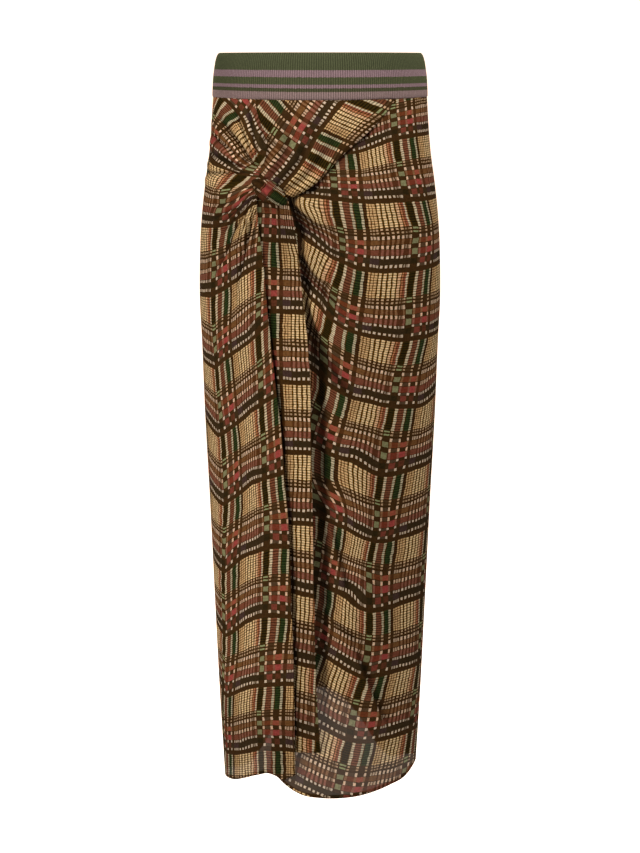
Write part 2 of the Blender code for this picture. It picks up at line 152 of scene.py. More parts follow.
Section = namedtuple("Section", "height half_width front back")
FORM = (
    Section(-1010, 130.0, 89, 93), Section(-942, 133.6, 91, 96), Section(-855, 138.3, 94, 99),
    Section(-718, 144.3, 98, 103), Section(-582, 150.0, 102, 108), Section(-450, 156.2, 107, 114),
    Section(-350, 159.6, 110, 121), Section(-300, 161.8, 112, 125), Section(-252, 161.5, 113, 128),
    Section(-205, 159.6, 113, 128), Section(-172, 156.8, 112, 126), Section(-140, 153.0, 111, 122),
    Section(-100, 147.4, 109, 115), Section(-60, 144.0, 106, 109), Section(-28, 142.0, 104, 106),
    Section(6, 139.6, 102, 104), Section(26, 135.4, 99, 101), Section(34, 131.5, 95, 97),
)
Edge = namedtuple("Edge", "across height")
Side = namedtuple("Side", "height across")
Stitch = namedtuple("Stitch", "along across height")


def read_table(rows, key, column, at):
    """Smooth curve through one column of a table, in metres, at the given places."""
    rows = sorted(rows, key=lambda row: getattr(row, key))
    scale = 1.0 if key == "along" else MM
    knots = np.array([getattr(row, key) for row in rows]) * scale
    values = np.array([getattr(row, column) for row in rows]) * MM
    slopes = np.gradient(values, knots)
    at = np.clip(at, knots[0], knots[-1])
    first = np.clip(np.searchsorted(knots, at) - 1, 0, len(knots) - 2)
    step = knots[first + 1] - knots[first]
    part = (at - knots[first]) / step
    begin = values[first] * (1 + 2 * part) * (1 - part) ** 2 + slopes[first] * step * part * (1 - part) ** 2
    end = values[first + 1] * part ** 2 * (3 - 2 * part) + slopes[first + 1] * step * part ** 2 * (part - 1)
    return begin + end


def ease(value, low, high):
    """Smooth step from 0 at low to 1 at high."""
    part = np.clip((value - low) / (high - low), 0.0, 1.0)
    return part * part * (3 - 2 * part)


def half_width_at(height):
    return read_table(FORM, "height", "half_width", height)


def angle_at(across, height):
    """Angle round the form of a point seen from the front at this distance from the middle."""
    return np.arcsin(np.clip(across / half_width_at(height), -1.0, 1.0))


def on_form(angle, height, lift):
    """Points that stand off the form by lift. Angle 0 is the middle of the front, pi of the back."""
    half_width = half_width_at(height)
    front = read_table(FORM, "height", "front", height)
    back = read_table(FORM, "height", "back", height)
    depth = np.where(np.cos(angle) >= 0, front, back)
    out_x = np.sin(angle) / half_width
    out_y = -np.cos(angle) / depth
    length = np.hypot(out_x, out_y)
    x = half_width * np.sin(angle) + lift * out_x / length
    y = -depth * np.cos(angle) + lift * out_y / length
    return np.column_stack([x, y, height])


def round_form(angle, height):
    """Distance round the form from the middle of the front, in millimetres: the way cloth is measured."""
    half_width = half_width_at(height)
    front = read_table(FORM, "height", "front", height)
    back = read_table(FORM, "height", "back", height)
    steps = 48
    total = np.zeros_like(angle)
    for i in range(steps):
        turn = angle * (i + 0.5) / steps
        depth = np.where(np.cos(turn) >= 0, front, back)
        total += np.hypot(half_width * np.cos(turn), depth * np.sin(turn)) * angle / steps
    return total / MM


def band_bottom(angle):
    """The band's lower edge dips a little at the middle of the front."""
    return BAND_BOTTOM - BAND_FRONT_DIP * np.clip(np.cos(angle), 0.0, None) ** 2


ring = np.linspace(0, np.pi, 2)
print("half the hip girth, mm:", round(float(round_form(ring, np.full(2, -0.252))[1]), 1))

# %% [markdown]
# ## Folds
#
# The folds of this skirt aren't random: they run from the gathers at the knot, and each one in the
# photograph has its own place and depth. So each fold is written down as a curved line through three
# points, with its half width at both ends and how far it stands out or sinks in, in millimetres.
# A smooth ridge or trough is then added along the line. Cloth simulation would place the folds
# elsewhere, so it isn't used here.

# %% Fold tables read from the front
Fold = namedtuple("Fold", "x0 z0 x1 z1 x2 z2 width0 width1 rise")
FOLD_STEPS = 41


def bent_line(fold, part):
    """Places along the curve through the three points of a fold or crease, in millimetres."""
    middle_x = 2 * fold.x1 - 0.5 * (fold.x0 + fold.x2)
    middle_z = 2 * fold.z1 - 0.5 * (fold.z0 + fold.z2)
    line_x = (1 - part) ** 2 * fold.x0 + 2 * part * (1 - part) * middle_x + part ** 2 * fold.x2
    line_z = (1 - part) ** 2 * fold.z0 + 2 * part * (1 - part) * middle_z + part ** 2 * fold.z2
    return line_x, line_z


def fold_relief(folds, across, height):
    """Sum of the ridges and troughs of a fold table at each point, in metres."""
    relief = np.zeros_like(across)
    part = np.linspace(0.0, 1.0, FOLD_STEPS)
    for fold in folds:
        line_x, line_z = bent_line(fold, part)
        gap = np.hypot(across[:, None] - line_x * MM, height[:, None] - line_z * MM)
        nearest = np.argmin(gap, axis=1)
        width = (fold.width0 + (fold.width1 - fold.width0) * part[nearest]) * MM
        fade = ease(part[nearest], 0.0, 0.25) * ease(1 - part[nearest], 0.0, 0.3)
        relief += fold.rise * MM * np.maximum(fade, 0.15) * np.exp(-(gap.min(axis=1) / width) ** 2)
    return relief


RIGHT_PANEL_FOLDS = (
    Fold(-34, -156, 4, -180, 52, -206, 12, 22, 4.5), Fold(-36, -180, -8, -214, 28, -256, 8, 16, -6.0),
    Fold(-28, -204, 8, -246, 58, -286, 12, 22, 5.5), Fold(-28, -240, 0, -296, 40, -350, 7, 16, -6.0),
    Fold(-22, -272, 14, -322, 62, -372, 12, 22, 5.0), Fold(-18, -318, 6, -372, 48, -440, 8, 16, -6.0),
    Fold(16, -575, 37, -655, 58, -722, 7, 10, -3.8), Fold(48, -700, 62, -755, 92, -826, 7, 10, -3.2),
    Fold(30, -400, 52, -600, 58, -900, 20, 30, 4.0), Fold(-8, -330, 4, -520, 8, -880, 12, 16, -7.0),
    Fold(92, -480, 104, -650, 106, -900, 16, 22, -2.5), Fold(144, -190, 100, -206, 58, -204, 10, 16, 2.0),
)
LEFT_PANEL_FOLDS = (
    Fold(-79, -126, -98, -98, -124, -70, 4, 9, -3.0), Fold(-76, -116, -86, -84, -98, -50, 5, 10, 2.2),
    Fold(-84, -134, -108, -114, -136, -92, 4, 10, 2.6), Fold(-86, -142, -114, -134, -146, -120, 4, 8, -2.6),
    Fold(-86, -148, -118, -150, -150, -148, 4, 8, 2.4), Fold(-86, -154, -118, -164, -152, -170, 4, 7, -2.4),
    Fold(-86, -160, -116, -178, -150, -194, 4, 9, 2.2), Fold(-84, -166, -108, -192, -136, -222, 3, 8, -2.2),
    Fold(-82, -170, -100, -204, -120, -246, 3, 8, 2.2), Fold(-80, -172, -92, -208, -104, -252, 3, 7, -2.0),
    Fold(-79, -176, -86, -214, -92, -262, 3, 7, 2.0), Fold(-129, -330, -131, -560, -126, -900, 9, 11, 2.5),
    Fold(-98, -300, -100, -560, -96, -900, 14, 18, -2.5),
)
BACK_FOLDS = (
    Fold(-92, -230, -98, -520, -100, -900, 16, 26, 4.0), Fold(-56, -300, -60, -560, -66, -850, 14, 20, -3.5),
    Fold(-24, -210, -28, -500, -34, -820, 16, 24, 3.5), Fold(14, -260, 16, -540, 14, -830, 14, 20, -3.5),
    Fold(52, -220, 58, -520, 60, -840, 16, 24, 4.0), Fold(92, -320, 98, -600, 98, -880, 14, 20, -3.0),
    Fold(-60, -60, -48, -110, -30, -170, 10, 16, 2.0), Fold(48, -60, 40, -115, 26, -176, 10, 16, 2.0),
)
print("folds:", len(RIGHT_PANEL_FOLDS) + len(LEFT_PANEL_FOLDS) + len(BACK_FOLDS))

# %% [markdown]
# Some folds hang over: the cloth swells on one side of a line and drops in sharply on the other, where it
# lies in its own shade, and where its colour also gets painted shade. Those are written as creases. Each has
# a swelling side, to the left of its line as one walks along it, and a hollow side.

# %% Creases that hang over
Crease = namedtuple("Crease", "x0 z0 x1 z1 x2 z2 rise reach depth hollow")
CREASE_EDGE = 0.9 * MM


def crease_relief(creases, across, height):
    """Relief of the creases in metres, and the painted shade on their hollow sides."""
    relief, shade = np.zeros_like(across), np.zeros_like(across)
    part = np.linspace(0.0, 1.0, FOLD_STEPS)
    for crease in creases:
        line_x, line_z = bent_line(crease, part)
        way_x, way_z = np.gradient(line_x), np.gradient(line_z)
        off_x, off_z = across[:, None] - line_x * MM, height[:, None] - line_z * MM
        gap = np.hypot(off_x, off_z)
        nearest = np.argmin(gap, axis=1)
        row = np.arange(len(across))
        near_x, near_z = off_x[row, nearest], off_z[row, nearest]
        way = np.hypot(way_x[nearest], way_z[nearest])
        side = (way_x[nearest] * near_z - way_z[nearest] * near_x) / way
        above = 1 / (1 + np.exp(-np.clip(side / CREASE_EDGE, -30, 30)))
        fade = ease(part[nearest], 0.0, 0.1) * ease(1 - part[nearest], 0.0, 0.45)
        reach = gap[row, nearest] / MM
        swell = crease.rise * np.exp(-(reach / crease.reach) ** 2)
        sink = crease.depth * np.exp(-(reach / crease.hollow) ** 2)
        relief += (above * swell - (1 - above) * sink) * fade * MM
        # Painted shade on the hollow side of each crease, strongest next to its line.
        shade = np.maximum(shade, (1 - above) * np.exp(-(1.2 * reach / crease.hollow) ** 2) * fade)
    return relief, shade


RIGHT_PANEL_CREASES = (
    Crease(-40, -160, -12, -184, 24, -216, 3.0, 16, 9.0, 11),
    Crease(-26, -228, -4, -260, 44, -322, 2.5, 14, 7.0, 8),
    Crease(-24, -276, 16, -368, 74, -470, 2.5, 14, 6.0, 7),
    Crease(92, -884, 62, -806, 34, -738, 3.0, 12, 6.5, 6),
    Crease(48, -753, 28, -735, 8, -719, 2.0, 10, 4.0, 5),
    Crease(36, -684, 22, -622, 8, -556, 2.0, 10, 4.5, 5),
)
LEFT_PANEL_CREASES = (
    Crease(-83, -184, -97, -240, -109, -290, 2.5, 9, 6.0, 7),
    Crease(-113, -214, -128, -242, -143, -268, 2.0, 8, 5.0, 5.5),
)
print("creases:", len(RIGHT_PANEL_CREASES) + len(LEFT_PANEL_CREASES))

# %% [markdown]
# ## Where the check lies on the cloth
#
# A woven check is printed on no form: its lines follow the yarns, so they bend and bunch where the cloth
# is gathered. Two numbers say where a point lies in the cloth before it was draped: how far across the
# yarns it is, and how far along them. The front panels, the swath and the tail have tables of points along
# their stripes, 466 in all, in millimetres. The points come from places read off enlarged crops of the
# photograph. A thin plate, which bends as little as it can, is laid through them. The two numbers
# become the piece's UV map, counted in repeats of the check.

# %% A thin plate through known places
REPEAT_ACROSS, REPEAT_ALONG = 102.0, 89.0  # one repeat of the check, in millimetres
WARP_REPEAT, WEFT_REPEAT = 75.0, 68.5  # the same in the units of the chart
DARK_WARP_MIDDLE, DARK_WEFT_MIDDLE = 3.25, 2.5  # the middles of the dark stripes in the chart
WARP_UNIT = REPEAT_ACROSS / WARP_REPEAT


def thin_plate(places, values, slack=0.02):
    """A function of place that passes close to values at places and is smooth between them."""
    places = np.asarray(places, float) / 100.0
    values = np.asarray(values, float)
    count = len(places)
    gap = np.linalg.norm(places[:, None] - places[None], axis=2)
    bend = gap ** 2 * np.log(gap + 1e-9) + slack * np.eye(count)
    plane = np.column_stack([np.ones(count), places])
    system = np.block([[bend, plane], [plane.T, np.zeros((3, 3))]])
    weights = np.linalg.solve(system, np.concatenate([values, np.zeros(3)]))

    def read(at):
        at = np.asarray(at, float) / 100.0
        total = weights[count] + at @ weights[count + 1:]
        for i in range(count):
            reach = np.linalg.norm(at - places[i], axis=1)
            total = total + weights[i] * reach ** 2 * np.log(reach + 1e-9)
        return total

    return read


def unrolled(across, height):
    """Places across the front, in millimetres, turned to distance round the form and height."""
    across, height = np.asarray(across, float) * MM, np.asarray(height, float) * MM
    return np.column_stack([round_form(angle_at(across, height), height), height / MM])


def lay_lines(lines):
    """lines is a list of (number, [(across, height), ...]); returns the plate through all of them."""
    places, values = [], []
    for number, points in lines:
        across, height = np.array(points, float).T
        places.append(unrolled(across, height))
        values.append(np.full(len(points), float(number)))
    return np.concatenate(places), np.concatenate(values)


def warp_lines(columns, start=DARK_WARP_MIDDLE):
    """Turns each line's warp place, in the chart's units, to millimetres from the start."""
    return [((unit - start) * WARP_UNIT, line) for unit, line in columns]


# %% Stripes of the right front panel
RIGHT_ROWS = (
    [(40, -91), (85, -75)],
    [(-12, -145), (12, -148), (38, -150), (77, -151), (145, -149)],
    [(-23, -198), (-12, -203), (-6, -207), (3, -215), (12, -223), (53, -237), (92, -241), (136, -240),
     (158, -236)],
    [(-14, -270), (-7, -278), (0, -284), (13, -302), (34, -318), (54, -325), (79, -330), (104, -334),
     (126, -333), (149, -332)],
    [(4, -380), (18, -394), (34, -402), (42, -408), (65, -413), (79, -419), (100, -423), (119, -425),
     (136, -426), (153, -416)],
    [(26, -488), (49, -493), (73, -510), (93, -515), (111, -512), (128, -510), (147, -507)],
    [(24, -580), (35, -584), (57, -598), (72, -605), (97, -606), (112, -603), (136, -599)],
    [(19, -669), (38, -674), (50, -684), (59, -696), (81, -698), (97, -697), (121, -693), (139, -693)],
    [(16, -766), (38, -780), (61, -792), (91, -790), (125, -789)],
    [(8, -863), (30, -875), (48, -882), (75, -884), (100, -882), (118, -881)],
    [(-25, -949), (0, -961), (40, -974), (90, -975)],
)
RIGHT_DARK_COLUMN = (
    (98, -82), (102, -108), (118, -173), (124, -196), (122, -252), (118, -283), (113, -354), (107, -372),
    (94, -441), (89, -466), (80, -534), (76, -557), (68, -627), (64, -651), (56, -809), (51, -826),
    (37, -901), (31, -926),
)
RIGHT_UPPER_COLUMN = (
    (19, -162), (23, -187), (27, -239), (21, -263), (19, -273), (11, -322), (6, -337), (4, -407), (-1, -426),
)
RIGHT_TAN_END = [(63, -197), (110, -195), (140, -195)]
TAN_END_IN_REPEAT = 44.5
RIGHT_NEAR_KNOT_ROWS = (  # how far along the cloth, and where that lies beside the creases
    (94.6, [(-11, -149), (-6, -150), (1, -151), (12, -152)]),
    (102.6, [(-23, -155), (-10, -156), (1, -157), (12, -158)]),
    (133.4, [(-31, -169), (-24, -174), (-18, -178), (-12, -182), (-6, -187), (-2, -189), (5, -190),
             (11, -191), (18, -191), (40, -196)]),
    (146.2, [(18, -202)]), (159.2, [(-2, -198), (3, -202), (8, -204), (13, -207), (21, -213)]),
    (171.9, [(-23, -192), (-6, -203), (12, -219), (21, -223)]),
    (183.6, [(-17, -204), (-11, -208), (-6, -212), (-2, -216), (3, -220), (8, -223), (14, -228)]),
    (191.6, [(-19, -213), (-12, -217), (-7, -220), (-2, -224), (3, -227), (9, -230), (14, -234), (24, -239)]),
    (222.4, [(-18, -237), (-14, -241), (-11, -249), (-7, -255), (-2, -259), (2, -262), (9, -263),
             (14, -267)]),
    (235.2, [(11, -277)]), (260.9, [(-15, -263), (-11, -267), (-7, -272), (-2, -276), (2, -280), (6, -284)]),
    (272.6, [(-15, -276), (-11, -281), (-7, -285)]),
)
RIGHT_NEAR_KNOT_COLUMNS = (  # warp place in the chart's units, and where it lies
    (72.6, [(13, -159), (13, -166), (14, -174), (16, -182), (18, -190), (24, -239), (21, -248), (18, -256),
            (15, -264), (11, -277)]),
    (62, [(-1, -158), (-2, -165), (0, -173), (3, -185), (11, -233), (6, -242), (2, -251), (0, -259)]),
    (57.25, [(-7, -158), (-8, -165), (-6, -173), (-2, -183), (5, -229), (2, -237), (-2, -246), (-4, -256)]),
    (52.5, [(-13, -158), (-14, -165), (-11, -174), (-7, -181), (0, -226), (-4, -233), (-6, -242),
            (-9, -250)]),
    (47.75, [(-19, -158), (-20, -165), (-17, -173), (-15, -178), (-6, -221), (-9, -228), (-11, -237),
             (-13, -244)]),
    (43.35, [(-26, -158), (-26, -165), (-23, -174), (-11, -218), (-13, -225), (-15, -233), (-16, -238)]),
)
RIGHT_BELOW_COLUMNS = (  # the same where the cloth is bunched beside the tail, lower down
    (24.5, [(10, -495), (10, -513), (10, -532), (25, -613), (20, -643), (13, -680), (13, -700), (9, -728)]),
    (9, [(12, -573), (8, -597), (5, -616)]),
    (19.4, [(20, -597), (17, -626)]),
    (3.25, [(1, -571), (1, -611)]),
    (29, [(17, -506), (19, -678), (16, -699), (13, -715)]),
)
COPIES = (  # the dark column is copied so far aside, between two heights where no stripe was read
    (45, -950, -60), (90, -950, -60), (-102, -950, -760), (-150, -950, -760),
)


def right_panel_cloth():
    """Two plates: how far across and how far along the cloth a place on the right panel lies."""
    rows = [(REPEAT_ALONG * i, row) for i, row in enumerate(RIGHT_ROWS)] + list(RIGHT_NEAR_KNOT_ROWS)
    places, values = lay_lines(rows + [(REPEAT_ALONG + TAN_END_IN_REPEAT, RIGHT_TAN_END)])
    along = thin_plate(places, values, 0.002)
    columns = warp_lines(RIGHT_NEAR_KNOT_COLUMNS, WARP_REPEAT + DARK_WARP_MIDDLE)
    columns += warp_lines(RIGHT_BELOW_COLUMNS)
    places, values = lay_lines([(REPEAT_ACROSS, RIGHT_DARK_COLUMN), (0.0, RIGHT_UPPER_COLUMN)] + columns)
    column = unrolled(*np.array(RIGHT_DARK_COLUMN, float).T)
    for shift, lowest, highest in COPIES:
        use = column[(column[:, 1] > lowest) & (column[:, 1] < highest)] + (shift, 0)
        places = np.concatenate([places, use])
        values = np.concatenate([values, np.full(len(use), REPEAT_ACROSS + shift)])
    across = thin_plate(places, values, 0.004)
    return across, along


right_across, right_along = right_panel_cloth()
print("right panel: check at its middle", right_across([[60, -400]]), right_along([[60, -400]]))

# %% Stripes of the left front panel and the hip drape above it
LEFT_ROWS = (
    (-4, [(-89, -57), (-86, -66), (-82, -73), (-78, -82), (-74, -91)]),
    (-3.937, [(-94, -58), (-90, -69), (-87, -76), (-84, -82), (-79, -90), (-77, -98)]),
    (-3.501, [(-120, -69), (-111, -81), (-101, -94), (-90, -108)]),
    (-3.069, [(-133, -97), (-126, -102), (-119, -107), (-111, -114), (-107, -117)]),
    (-3, [(-137, -101), (-129, -107), (-119, -114)]),
    (-2.937, [(-139, -108), (-131, -112), (-123, -116), (-114, -120)]),
    (-2, [(-151, -187), (-135, -186), (-124, -185), (-114, -181), (-106, -176), (-97, -169), (-83, -155)]),
    (-1, [(-153, -278), (-136, -272), (-123, -264), (-110, -254), (-100, -247), (-89, -239), (-79, -235)]),
    (0, [(-156, -369), (-140, -375), (-123, -358), (-108, -347), (-89, -334), (-76, -317)]),
    (1, [(-151, -453), (-135, -467), (-120, -454), (-104, -438), (-87, -424), (-69, -411)]),
    (2, [(-146, -549), (-129, -561), (-113, -546), (-91, -524), (-75, -519), (-57, -510)]),
    (3, [(-142, -646), (-127, -655), (-109, -631), (-88, -621), (-67, -607), (-48, -608)]),
    (4, [(-136, -738), (-127, -746), (-107, -724), (-86, -710), (-65, -704), (-43, -705)]),
    (5, [(-135, -824), (-128, -834), (-111, -820), (-90, -809), (-65, -802), (-39, -798)]),
    (6, [(-129, -917), (-108, -909), (-90, -898), (-69, -893), (-38, -892)]),
)
LEFT_COLUMNS = (
    (0, [(-77, -256), (-78, -292), (-79, -336), (-76, -386), (-75, -443), (-72, -539), (-70, -592),
         (-71, -654), (-73, -727), (-77, -768), (-82, -852), (-78, -925)]),
    (29, [(-44, -590), (-46, -639), (-48, -729), (-55, -830), (-55, -915)]),
    (-73, [(-83, -144), (-91, -150), (-101, -161), (-108, -178), (-114, -195), (-120, -213), (-123, -238),
           (-122, -292), (-125, -334), (-121, -389), (-113, -481), (-110, -567), (-116, -770)]),
    (-102, [(-135, -187), (-131, -172), (-129, -155), (-111, -137), (-97, -126), (-87, -119), (-81, -111),
            (-73, -101), (-138, -201), (-140, -235), (-141, -262), (-142, -296)]),
    (-134, [(-105, -83)]), (-175, [(-125, -59), (-117, -55), (-109, -51)]),
    (-204, [(-137, -44), (-132, -35)]), (-16, [(-77, -166)]), (-34, [(-83, -159)]), (-57, [(-92, -161)]),
)
LEFT_RIDGE = (
    Side(-930, -129), Side(-834, -128), Side(-746, -127), Side(-655, -127), Side(-561, -129),
    Side(-467, -135), Side(-378, -140), Side(-300, -142), Side(-240, -143),
)
RIDGE_KINK = 0.42


def ridge_kink(places):
    """Cloth lies sharply bent along the ridge near the side seam, so its rows make a V there."""
    height = places[:, 1] * MM
    ridge = unrolled(read_table(LEFT_RIDGE, "height", "across", height) / MM, places[:, 1])[:, 0]
    return RIDGE_KINK * np.abs(places[:, 0] - ridge) * ease(-height, 0.26, 0.36)


left_places, left_values = lay_lines([(REPEAT_ALONG * n, row) for n, row in LEFT_ROWS])
left_smooth = thin_plate(left_places, left_values - ridge_kink(left_places), 0.008)


def left_along(at):
    return left_smooth(at) + ridge_kink(np.asarray(at, float))


left_across = thin_plate(*lay_lines(LEFT_COLUMNS), 0.05)
print("left panel: check at its middle", left_across([[-110, -400]]), left_along([[-110, -400]]))

# %% Stripes of the swath
SWATH_ROWS = (
    (0, [(14, -32), (3, -48), (-7, -62), (-17, -78), (-25, -94), (-32, -108), (-45, -123), (-57, -137)]),
    (-30, [(-23, -33), (-33, -49), (-46, -71), (-54, -85), (-64, -98), (-72, -109), (-78, -119)]),
    (55, [(81, -53), (72, -58), (64, -64), (55, -72), (47, -79), (42, -85), (35, -90)]),
)
SWATH_COLUMNS = (
    (0, [(41, -32), (53, -36), (65, -41), (76, -45)]),
    (-73, [(-59, -32), (-51, -41), (-43, -50), (-31, -59), (-16, -69), (-1, -77), (13, -84), (28, -90)]),
    (-102, [(-71, -57), (-62, -66), (-53, -75), (-40, -83), (-28, -93), (-16, -99), (-5, -106), (7, -114)]),
    (-156, [(-43, -144)]), (-175, [(-60, -152)]),
)
swath_along = thin_plate(*lay_lines(SWATH_ROWS))
swath_across = thin_plate(*lay_lines(SWATH_COLUMNS))
print("swath: check at its middle", swath_across([[0, -60]]), swath_along([[0, -60]]))

# %% Stripes of the tail and of the back, which hang straight
TAIL_ROWS = (
    (0, [(-55, -200), (-34, -201), (-8, -204)]), (1, [(-55, -293), (-34, -293), (-8, -294)]),
    (2, [(-55, -386), (-34, -387), (-8, -387)]), (3, [(-56, -480), (-34, -480), (-8, -481)]),
    (4, [(-56, -575), (-35, -576), (-8, -577)]), (5, [(-56, -667), (-35, -670), (-8, -676)]),
    (6, [(-57, -763), (-35, -768), (-8, -774)]), (7, [(-57, -860), (-35, -866), (-8, -874)]),
)
TAIL_COLUMNS = (  # warp place in the chart's units, and where it lies: the tail is pinched at its top
    (21.4, [(-62, -166), (-62, -196), (-63, -231), (-64, -309)]),
    (27.6, [(-54, -166), (-53, -195), (-56, -231), (-56, -309)]), (29, [(-53, -402)]),
    (34, [(-51, -166), (-50, -195), (-49, -230), (-47, -309), (-49, -402), (-46, -509)]),
    (44, [(-36, -597)]), (48.7, [(-27, -509), (-30, -700)]), (51.6, [(-29, -230)]),
    (53.4, [(-24, -597), (-30, -799)]), (58.2, [(-19, -700)]), (60, [(-38, -165), (-34, -195), (-27, -889)]),
    (61, [(-18, -308), (-12, -401)]), (62.9, [(-11, -508), (-12, -597), (-13, -700), (-18, -799)]),
    (69.7, [(-11, -799)]), (75, [(-5, -889)]),
)
BACK_PITCH = 92.5
BACK_RIGHT_PHASE = -236.0
BACK_LEFT_PHASE = -276.0

tail_across = thin_plate(*lay_lines(warp_lines(TAIL_COLUMNS)))
tail_along = thin_plate(*lay_lines([(REPEAT_ALONG * n, row) for n, row in TAIL_ROWS]))


def back_cloth(distance, height):
    """Cloth place on the back panel, whose distance runs from the side seam at +X round to -X."""
    share = (distance - distance.min()) / (distance.max() - distance.min())
    phase = BACK_RIGHT_PHASE + (BACK_LEFT_PHASE - BACK_RIGHT_PHASE) * share
    return distance, (phase - height) * REPEAT_ALONG / BACK_PITCH


print("tail: check at its middle", tail_across([[-30, -500]]), tail_along([[-30, -500]]))

# %% [markdown]
# ## The check, charted by hand
#
# It is an ordinary many-coloured check of the madras kind, so it is charted as a weaver would chart it: a
# list of warp stripes across one repeat, and a list of weft stripes along it. Where a tan weft crosses,
# the warp colours show. Dark wefts hide the warp, thin wefts leave rows of dots on the pale warps, and
# the rust and red wefts give two blocks of their own. Every list is a colour ramp with sharp steps. All
# of it is one node group.
#
# The order and widths of the stripes were charted from enlarged crops. Their colours were first given,
# and then changed in several rounds after readings of the photograph: of single spots, of larger
# regions, and of its average colour at each kind of crossing. So they aren't set by eye alone.

# %% Charts of one repeat
DARK, GAP, CREAM, RED_BROWN = (49, 36, 6), (94, 60, 20), (228, 192, 138), (113, 66, 43)
GREEN, DARK_BROWN, TAN, TAN_GAP = (44, 54, 23), (64, 38, 12), (204, 162, 110), (112, 74, 36)
IVORY, PALE_IVORY = (205, 184, 147), (184, 168, 134)
PEACH, ORANGE, RUST = (219, 172, 126), (180, 113, 76), (140, 75, 52)
WARP = (
    (0, DARK), (6.6, GAP), (7.4, IVORY), (10.8, RED_BROWN), (17.9, PALE_IVORY), (20.8, GAP), (21.4, GREEN),
    (27.6, PALE_IVORY), (30.3, DARK_BROWN), (34, TAN), (36, TAN_GAP), (37, TAN), (39, TAN_GAP), (40.1, TAN),
    (42.7, GAP), (44, CREAM), (46.8, GAP), (48.7, CREAM), (51.6, GAP), (53.4, CREAM), (56.3, GAP),
    (58.2, CREAM), (61.1, GAP), (62.9, PEACH), (65.7, GAP), (67, ORANGE), (68.7, GAP), (69.7, RUST),
    (71.6, IVORY), (73.6, GAP),
)
PALE_WARPS = (
    (0, 0.0), (7.7, 1.0), (10.4, 0.05), (18.1, 1.0), (20.6, 0.0), (27.8, 1.0), (30.1, 0.0), (34.3, 0.75),
    (35.8, 0.15), (37.3, 0.75), (38.8, 0.15), (40.4, 0.75), (42.4, 0.0), (44.3, 1.0), (46.6, 0.0),
    (49, 1.0), (51.3, 0.0), (53.7, 1.0), (56, 0.0), (58.5, 1.0), (60.8, 0.0), (63.2, 0.9), (65.4, 0.05),
    (67.1, 0.5), (68.5, 0.05), (69.9, 0.35), (71.7, 0.9), (73.4, 0.0),
)
RUST_GAP, RUST_PALE, SAGE, TERRACOTTA = (76, 44, 18), (122, 84, 54), (116, 113, 78), (138, 70, 50)
RUST_ROW = (
    (0, SAGE), (6.6, RUST_GAP), (7.7, RUST_PALE), (10.4, (102, 52, 28)), (18.1, RUST_PALE),
    (20.8, TERRACOTTA), (27.6, RUST_PALE), (30.1, RUST_GAP), (34.3, (104, 68, 36)), (42.4, RUST_GAP),
    (44.3, RUST_PALE), (46.6, RUST_GAP), (49, RUST_PALE), (51.3, RUST_GAP), (53.7, RUST_PALE), (56, RUST_GAP),
    (58.5, RUST_PALE), (60.8, RUST_GAP), (63.2, RUST_PALE), (65.4, RUST_GAP), (71.7, RUST_PALE),
    (73.4, RUST_GAP),
)
RED_GAP, RED_PALE, RED_BLOCK = (79, 43, 24), (128, 78, 60), (143, 61, 54)
RED_ROW = (
    (0, (119, 116, 80)), (6.6, RED_GAP), (7.7, RED_PALE), (10.4, (107, 48, 31)), (18.1, RED_PALE),
    (20.8, RED_BLOCK), (27.6, RED_PALE), (30.1, RED_GAP), (34.3, (109, 60, 42)), (42.4, RED_GAP),
    (44.3, RED_PALE), (46.6, RED_GAP), (49, RED_PALE), (51.3, RED_GAP), (53.7, RED_PALE), (56, RED_GAP),
    (58.5, RED_PALE), (60.8, RED_GAP), (63.2, RED_PALE), (65.4, RED_GAP), (71.7, RED_PALE), (73.4, RED_GAP),
)
DARK_ROW = (
    (0, (42, 31, 11)), (6.6, (54, 36, 13)), (7.7, (64, 44, 23)), (10.8, (113, 55, 41)), (17.7, (60, 40, 17)),
    (21.4, (86, 46, 28)), (27.6, (54, 40, 22)), (34, (60, 42, 36)), (43, (50, 36, 18)),
)
NO, YES = 0.0, 1.0
WEFT_KIND = (  # rust row, red row, dark row, tan block
    (0, (NO, NO, YES, NO)), (5.2, (NO, NO, NO, NO)), (13, (NO, NO, NO, YES)), (36.7, (NO, NO, NO, NO)),
    (48.8, (YES, NO, NO, NO)), (53.8, (NO, NO, NO, NO)), (58.8, (NO, YES, NO, NO)), (64.6, (NO, NO, NO, NO)),
    (68.1, (NO, NO, YES, NO)),
)
WEFT_DOTS = (  # the dots' colour, and how strongly they show
    (0, (0, 0, 0), NO), (5.5, (202, 178, 150), YES), (8.1, (0, 0, 0), NO), (37.8, (194, 156, 117), YES),
    (39.4, (0, 0, 0), NO), (41, (178, 142, 106), YES), (42.6, (0, 0, 0), NO), (44.8, (209, 175, 143), YES),
    (48.3, (0, 0, 0), NO), (54.8, (212, 172, 138), YES), (58.1, (0, 0, 0), NO), (65.1, (202, 178, 152), YES),
    (67.6, (0, 0, 0), NO),
)
THIN_WEFTS = ((0, 0.0), (37.6, 0.8), (39.2, 0.0), (41.2, 0.8), (42.8, 0.0))
THIN_LINE, GROUND = (142, 147, 100), (57, 36, 13)
DARK_WARP_END = 6.6
print("warp stripes:", len(WARP), "weft stripes:", len(WEFT_KIND) + len(WEFT_DOTS))


# %% Helpers that build nodes
def linear(colour):
    """A colour as seen on a screen, 0 to 255, as the light it stands for, 0 to 1."""
    share = np.array(colour, float) / 255.0
    light = np.where(share <= 0.04045, share / 12.92, ((share + 0.055) / 1.055) ** 2.4)
    return tuple(float(v) for v in light)


def node(tree, kind, column, row, **settings):
    """A new node at a column and row of the editor, with its settings."""
    made = tree.nodes.new(kind)
    made.location = (column * 200, -row * 220)
    for name, value in settings.items():
        setattr(made, name, value)
    return made


